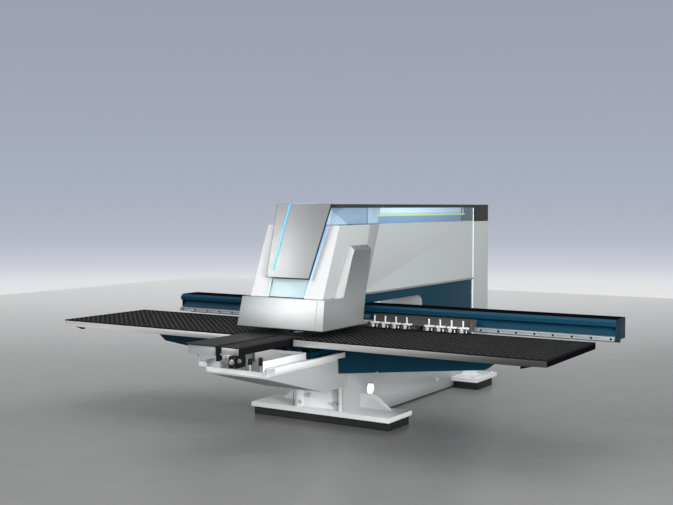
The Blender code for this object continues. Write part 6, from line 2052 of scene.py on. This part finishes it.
@dataclass
class Studio:
    """The pale floor, the soft lights and the camera at the photograph's angle."""

    lens: float = 53.92
    place: Point = (5.4528, -8.5693, 2.1552)
    pitch: float = -0.0459
    yaw: float = 0.5600
    corners: tuple[Flat, ...] = ((-14.4, -30.0), (40.0, -30.0), (40.0, 15.5), (-14.4, 15.5))
    heading: Flat = (-0.531, 0.847)
    floor_depth: Flat = (-10.0, 20.0)
    floor_painted_falloff: tuple[Flat, ...] = ((0.0, 0.33), (0.233, 0.22), (0.333, 0.21), (0.366, 0.25), (0.463, 0.37),
                                     (0.578, 0.60), (0.765, 0.88), (1.0, 0.95))
    floor_painted_light: tuple[Flat, ...] = ((0.0, 0.0), (0.50, 0.0), (0.70, 0.10), (1.0, 0.24))
    sky_tones: tuple[tuple[float, Colour], ...] = (
        (0.0, (0.783, 0.783, 0.783)), (0.048, (0.738, 0.753, 0.783)), (0.093, (0.604, 0.624, 0.694)),
        (0.176, (0.468, 0.497, 0.578)), (0.293, (0.413, 0.445, 0.533)), (0.383, (0.392, 0.429, 0.521)),
        (0.586, (0.366, 0.397, 0.485)), (0.793, (0.342, 0.371, 0.468)), (1.0, (0.328, 0.352, 0.445)))

    def build(self) -> None:
        """Builds the studio."""
        self.floor()
        self.backdrop()
        self.lights()
        self.camera()
        bpy.context.scene.view_settings.view_transform = "Standard"

    def floor(self) -> None:
        """Builds the floor."""
        data = bpy.data.meshes.new("studio_floor")
        mesh = bmesh.new()
        mesh.faces.new([mesh.verts.new((x, y, 0.0)) for x, y in self.corners])
        mesh.to_mesh(data)
        mesh.free()
        data.materials.append(self.floor_material())
        link("studio_floor", data)

    def floor_material(self) -> bpy.types.Material:
        """Makes the pale floor, with painted shade round the machine and painted light towards the back,
        where it also emits light.

        Returns:
            The material.
        """
        material, graph = new_material("studio floor")
        place = graph.add("ShaderNodeTexCoord").outputs["Object"]
        apart = graph.add("ShaderNodeSeparateXYZ", {0: place})
        depth = graph.math("ADD", graph.math("MULTIPLY", apart.outputs["X"], self.heading[0]),
                           graph.math("MULTIPLY", apart.outputs["Y"], self.heading[1]))
        # The floor's colour carries painted shade round the machine and painted light further back.
        ramp = graph.add("ShaderNodeValToRGB", {0: graph.span(depth, *self.floor_depth)})
        graph.stops(ramp, [(position, (value, value, value)) for position, value in self.floor_painted_falloff])
        speck = graph.span(graph.noise(place, 2.2, 4.0), 0.3, 0.7, 0.97, 1.03)
        colour = graph.mix(1.0, ramp.outputs[0], speck, "MULTIPLY")
        rough = graph.span(graph.noise(place, 5.0, 3.0), 0.3, 0.7, 0.30, 0.36)
        # Emission that paints light onto the far floor.
        lift = graph.add("ShaderNodeValToRGB", {0: graph.span(depth, *self.floor_depth)})
        graph.stops(lift, [(position, (value, value, value)) for position, value in self.floor_painted_light])
        shader = graph.add("ShaderNodeBsdfPrincipled", {"Base Color": colour, "Roughness": rough,
                                                        "Specular IOR Level": 0.28,
                                                        "Emission Color": lift.outputs[0],
                                                        "Emission Strength": 1.0})
        graph.add("ShaderNodeOutputMaterial", {0: shader.outputs[0]})
        return material

    def backdrop(self) -> None:
        """Sets the world: a grey-blue fall-off for the camera, and a weak even light."""
        world = bpy.data.worlds.new("studio_world")
        bpy.context.scene.world = world
        world.use_nodes = True
        tree = world.node_tree
        tree.nodes.clear()
        graph = Graph(tree)
        ray = graph.add("ShaderNodeTexCoord").outputs["Generated"]
        height = graph.add("ShaderNodeSeparateXYZ", {0: ray}).outputs["Z"]
        ramp = graph.add("ShaderNodeValToRGB", {0: graph.span(height, -0.085, 0.205)})
        graph.stops(ramp, self.sky_tones)
        seen = graph.add("ShaderNodeBackground", {"Color": ramp.outputs[0], "Strength": 1.0})
        even = graph.add("ShaderNodeBackground", {"Color": rgba((0.95, 0.98, 1.0)), "Strength": 0.46})
        path = graph.add("ShaderNodeLightPath")
        mixed = graph.add("ShaderNodeMixShader", {0: path.outputs["Is Camera Ray"], 1: even.outputs[0],
                                                  2: seen.outputs[0]})
        graph.add("ShaderNodeOutputWorld", {0: mixed.outputs[0]})

    def lights(self) -> None:
        """Places the key light at the front left, two fills at the front right and a soft light overhead."""
        self._area("key_light", (-9.0, -11.0, 6.5), (0.0, -0.2, 1.0), 8.0, 900.0)
        self._area("fill_light", (8.0, -6.5, 3.6), (0.0, 0.0, 0.5), 5.0, 480.0, mirrored=False)
        self._area("low_light", (9.5, -5.6, 2.0), (0.0, 0.0, 2.2), 1.4, 500.0, mirrored=False)
        self._area("top_light", (0.0, 0.5, 9.0), (0.0, 0.5, 0.0), 8.0, 360.0)

    def _area(self, name: str, place: Point, target: Point, size: float, power: float,
              mirrored: bool = True) -> None:
        """Adds a square area light that looks at a point.

        Args:
            name: the object's name.
            place: where the light stands.
            target: the point it looks at.
            size: the square's side.
            power: its power in watts.
            mirrored: whether it shows in mirroring faces.
        """
        light = bpy.data.lights.new(name, "AREA")
        light.size, light.energy = size, power
        lamp = link(name, light)
        lamp.visible_camera = False
        lamp.visible_glossy = mirrored
        lamp.location = place
        lamp.rotation_euler = (Vector(target) - Vector(place)).to_track_quat("-Z", "Y").to_euler()

    def camera(self) -> None:
        """Places the camera where the photograph was taken from."""
        data = bpy.data.cameras.new("photo_camera")
        data.lens, data.sensor_width = self.lens, 36.0
        data.clip_end = 200.0
        camera = link("photo_camera", data)
        camera.location = self.place
        camera.rotation_euler = Euler((math.pi / 2 + self.pitch, 0.0, self.yaw))
        bpy.context.scene.camera = camera


def main() -> None:
    logging.basicConfig(level=logging.INFO, format="%(name)s %(message)s")
    parts = (
        FloorFeet(), WeldedFrame(), SideCovers(), RearColumn(), GlazingBand(), HeadShell(), HeadFront(),
        Hood(), PunchingHead(), DieStation(), FrontHousing(), MiddleTable(), SheetTable("left"),
        SheetTable("right"), Gantry(), TransverseRail(), ToolMagazine(), SheetClamps(),
    )
    for part in parts:
        part.build()
        LOG.info("built %s", type(part).__name__)
    Studio().build()
    LOG.info("%d pieces", Workshop.count)


if __name__ == "__main__":
    main()
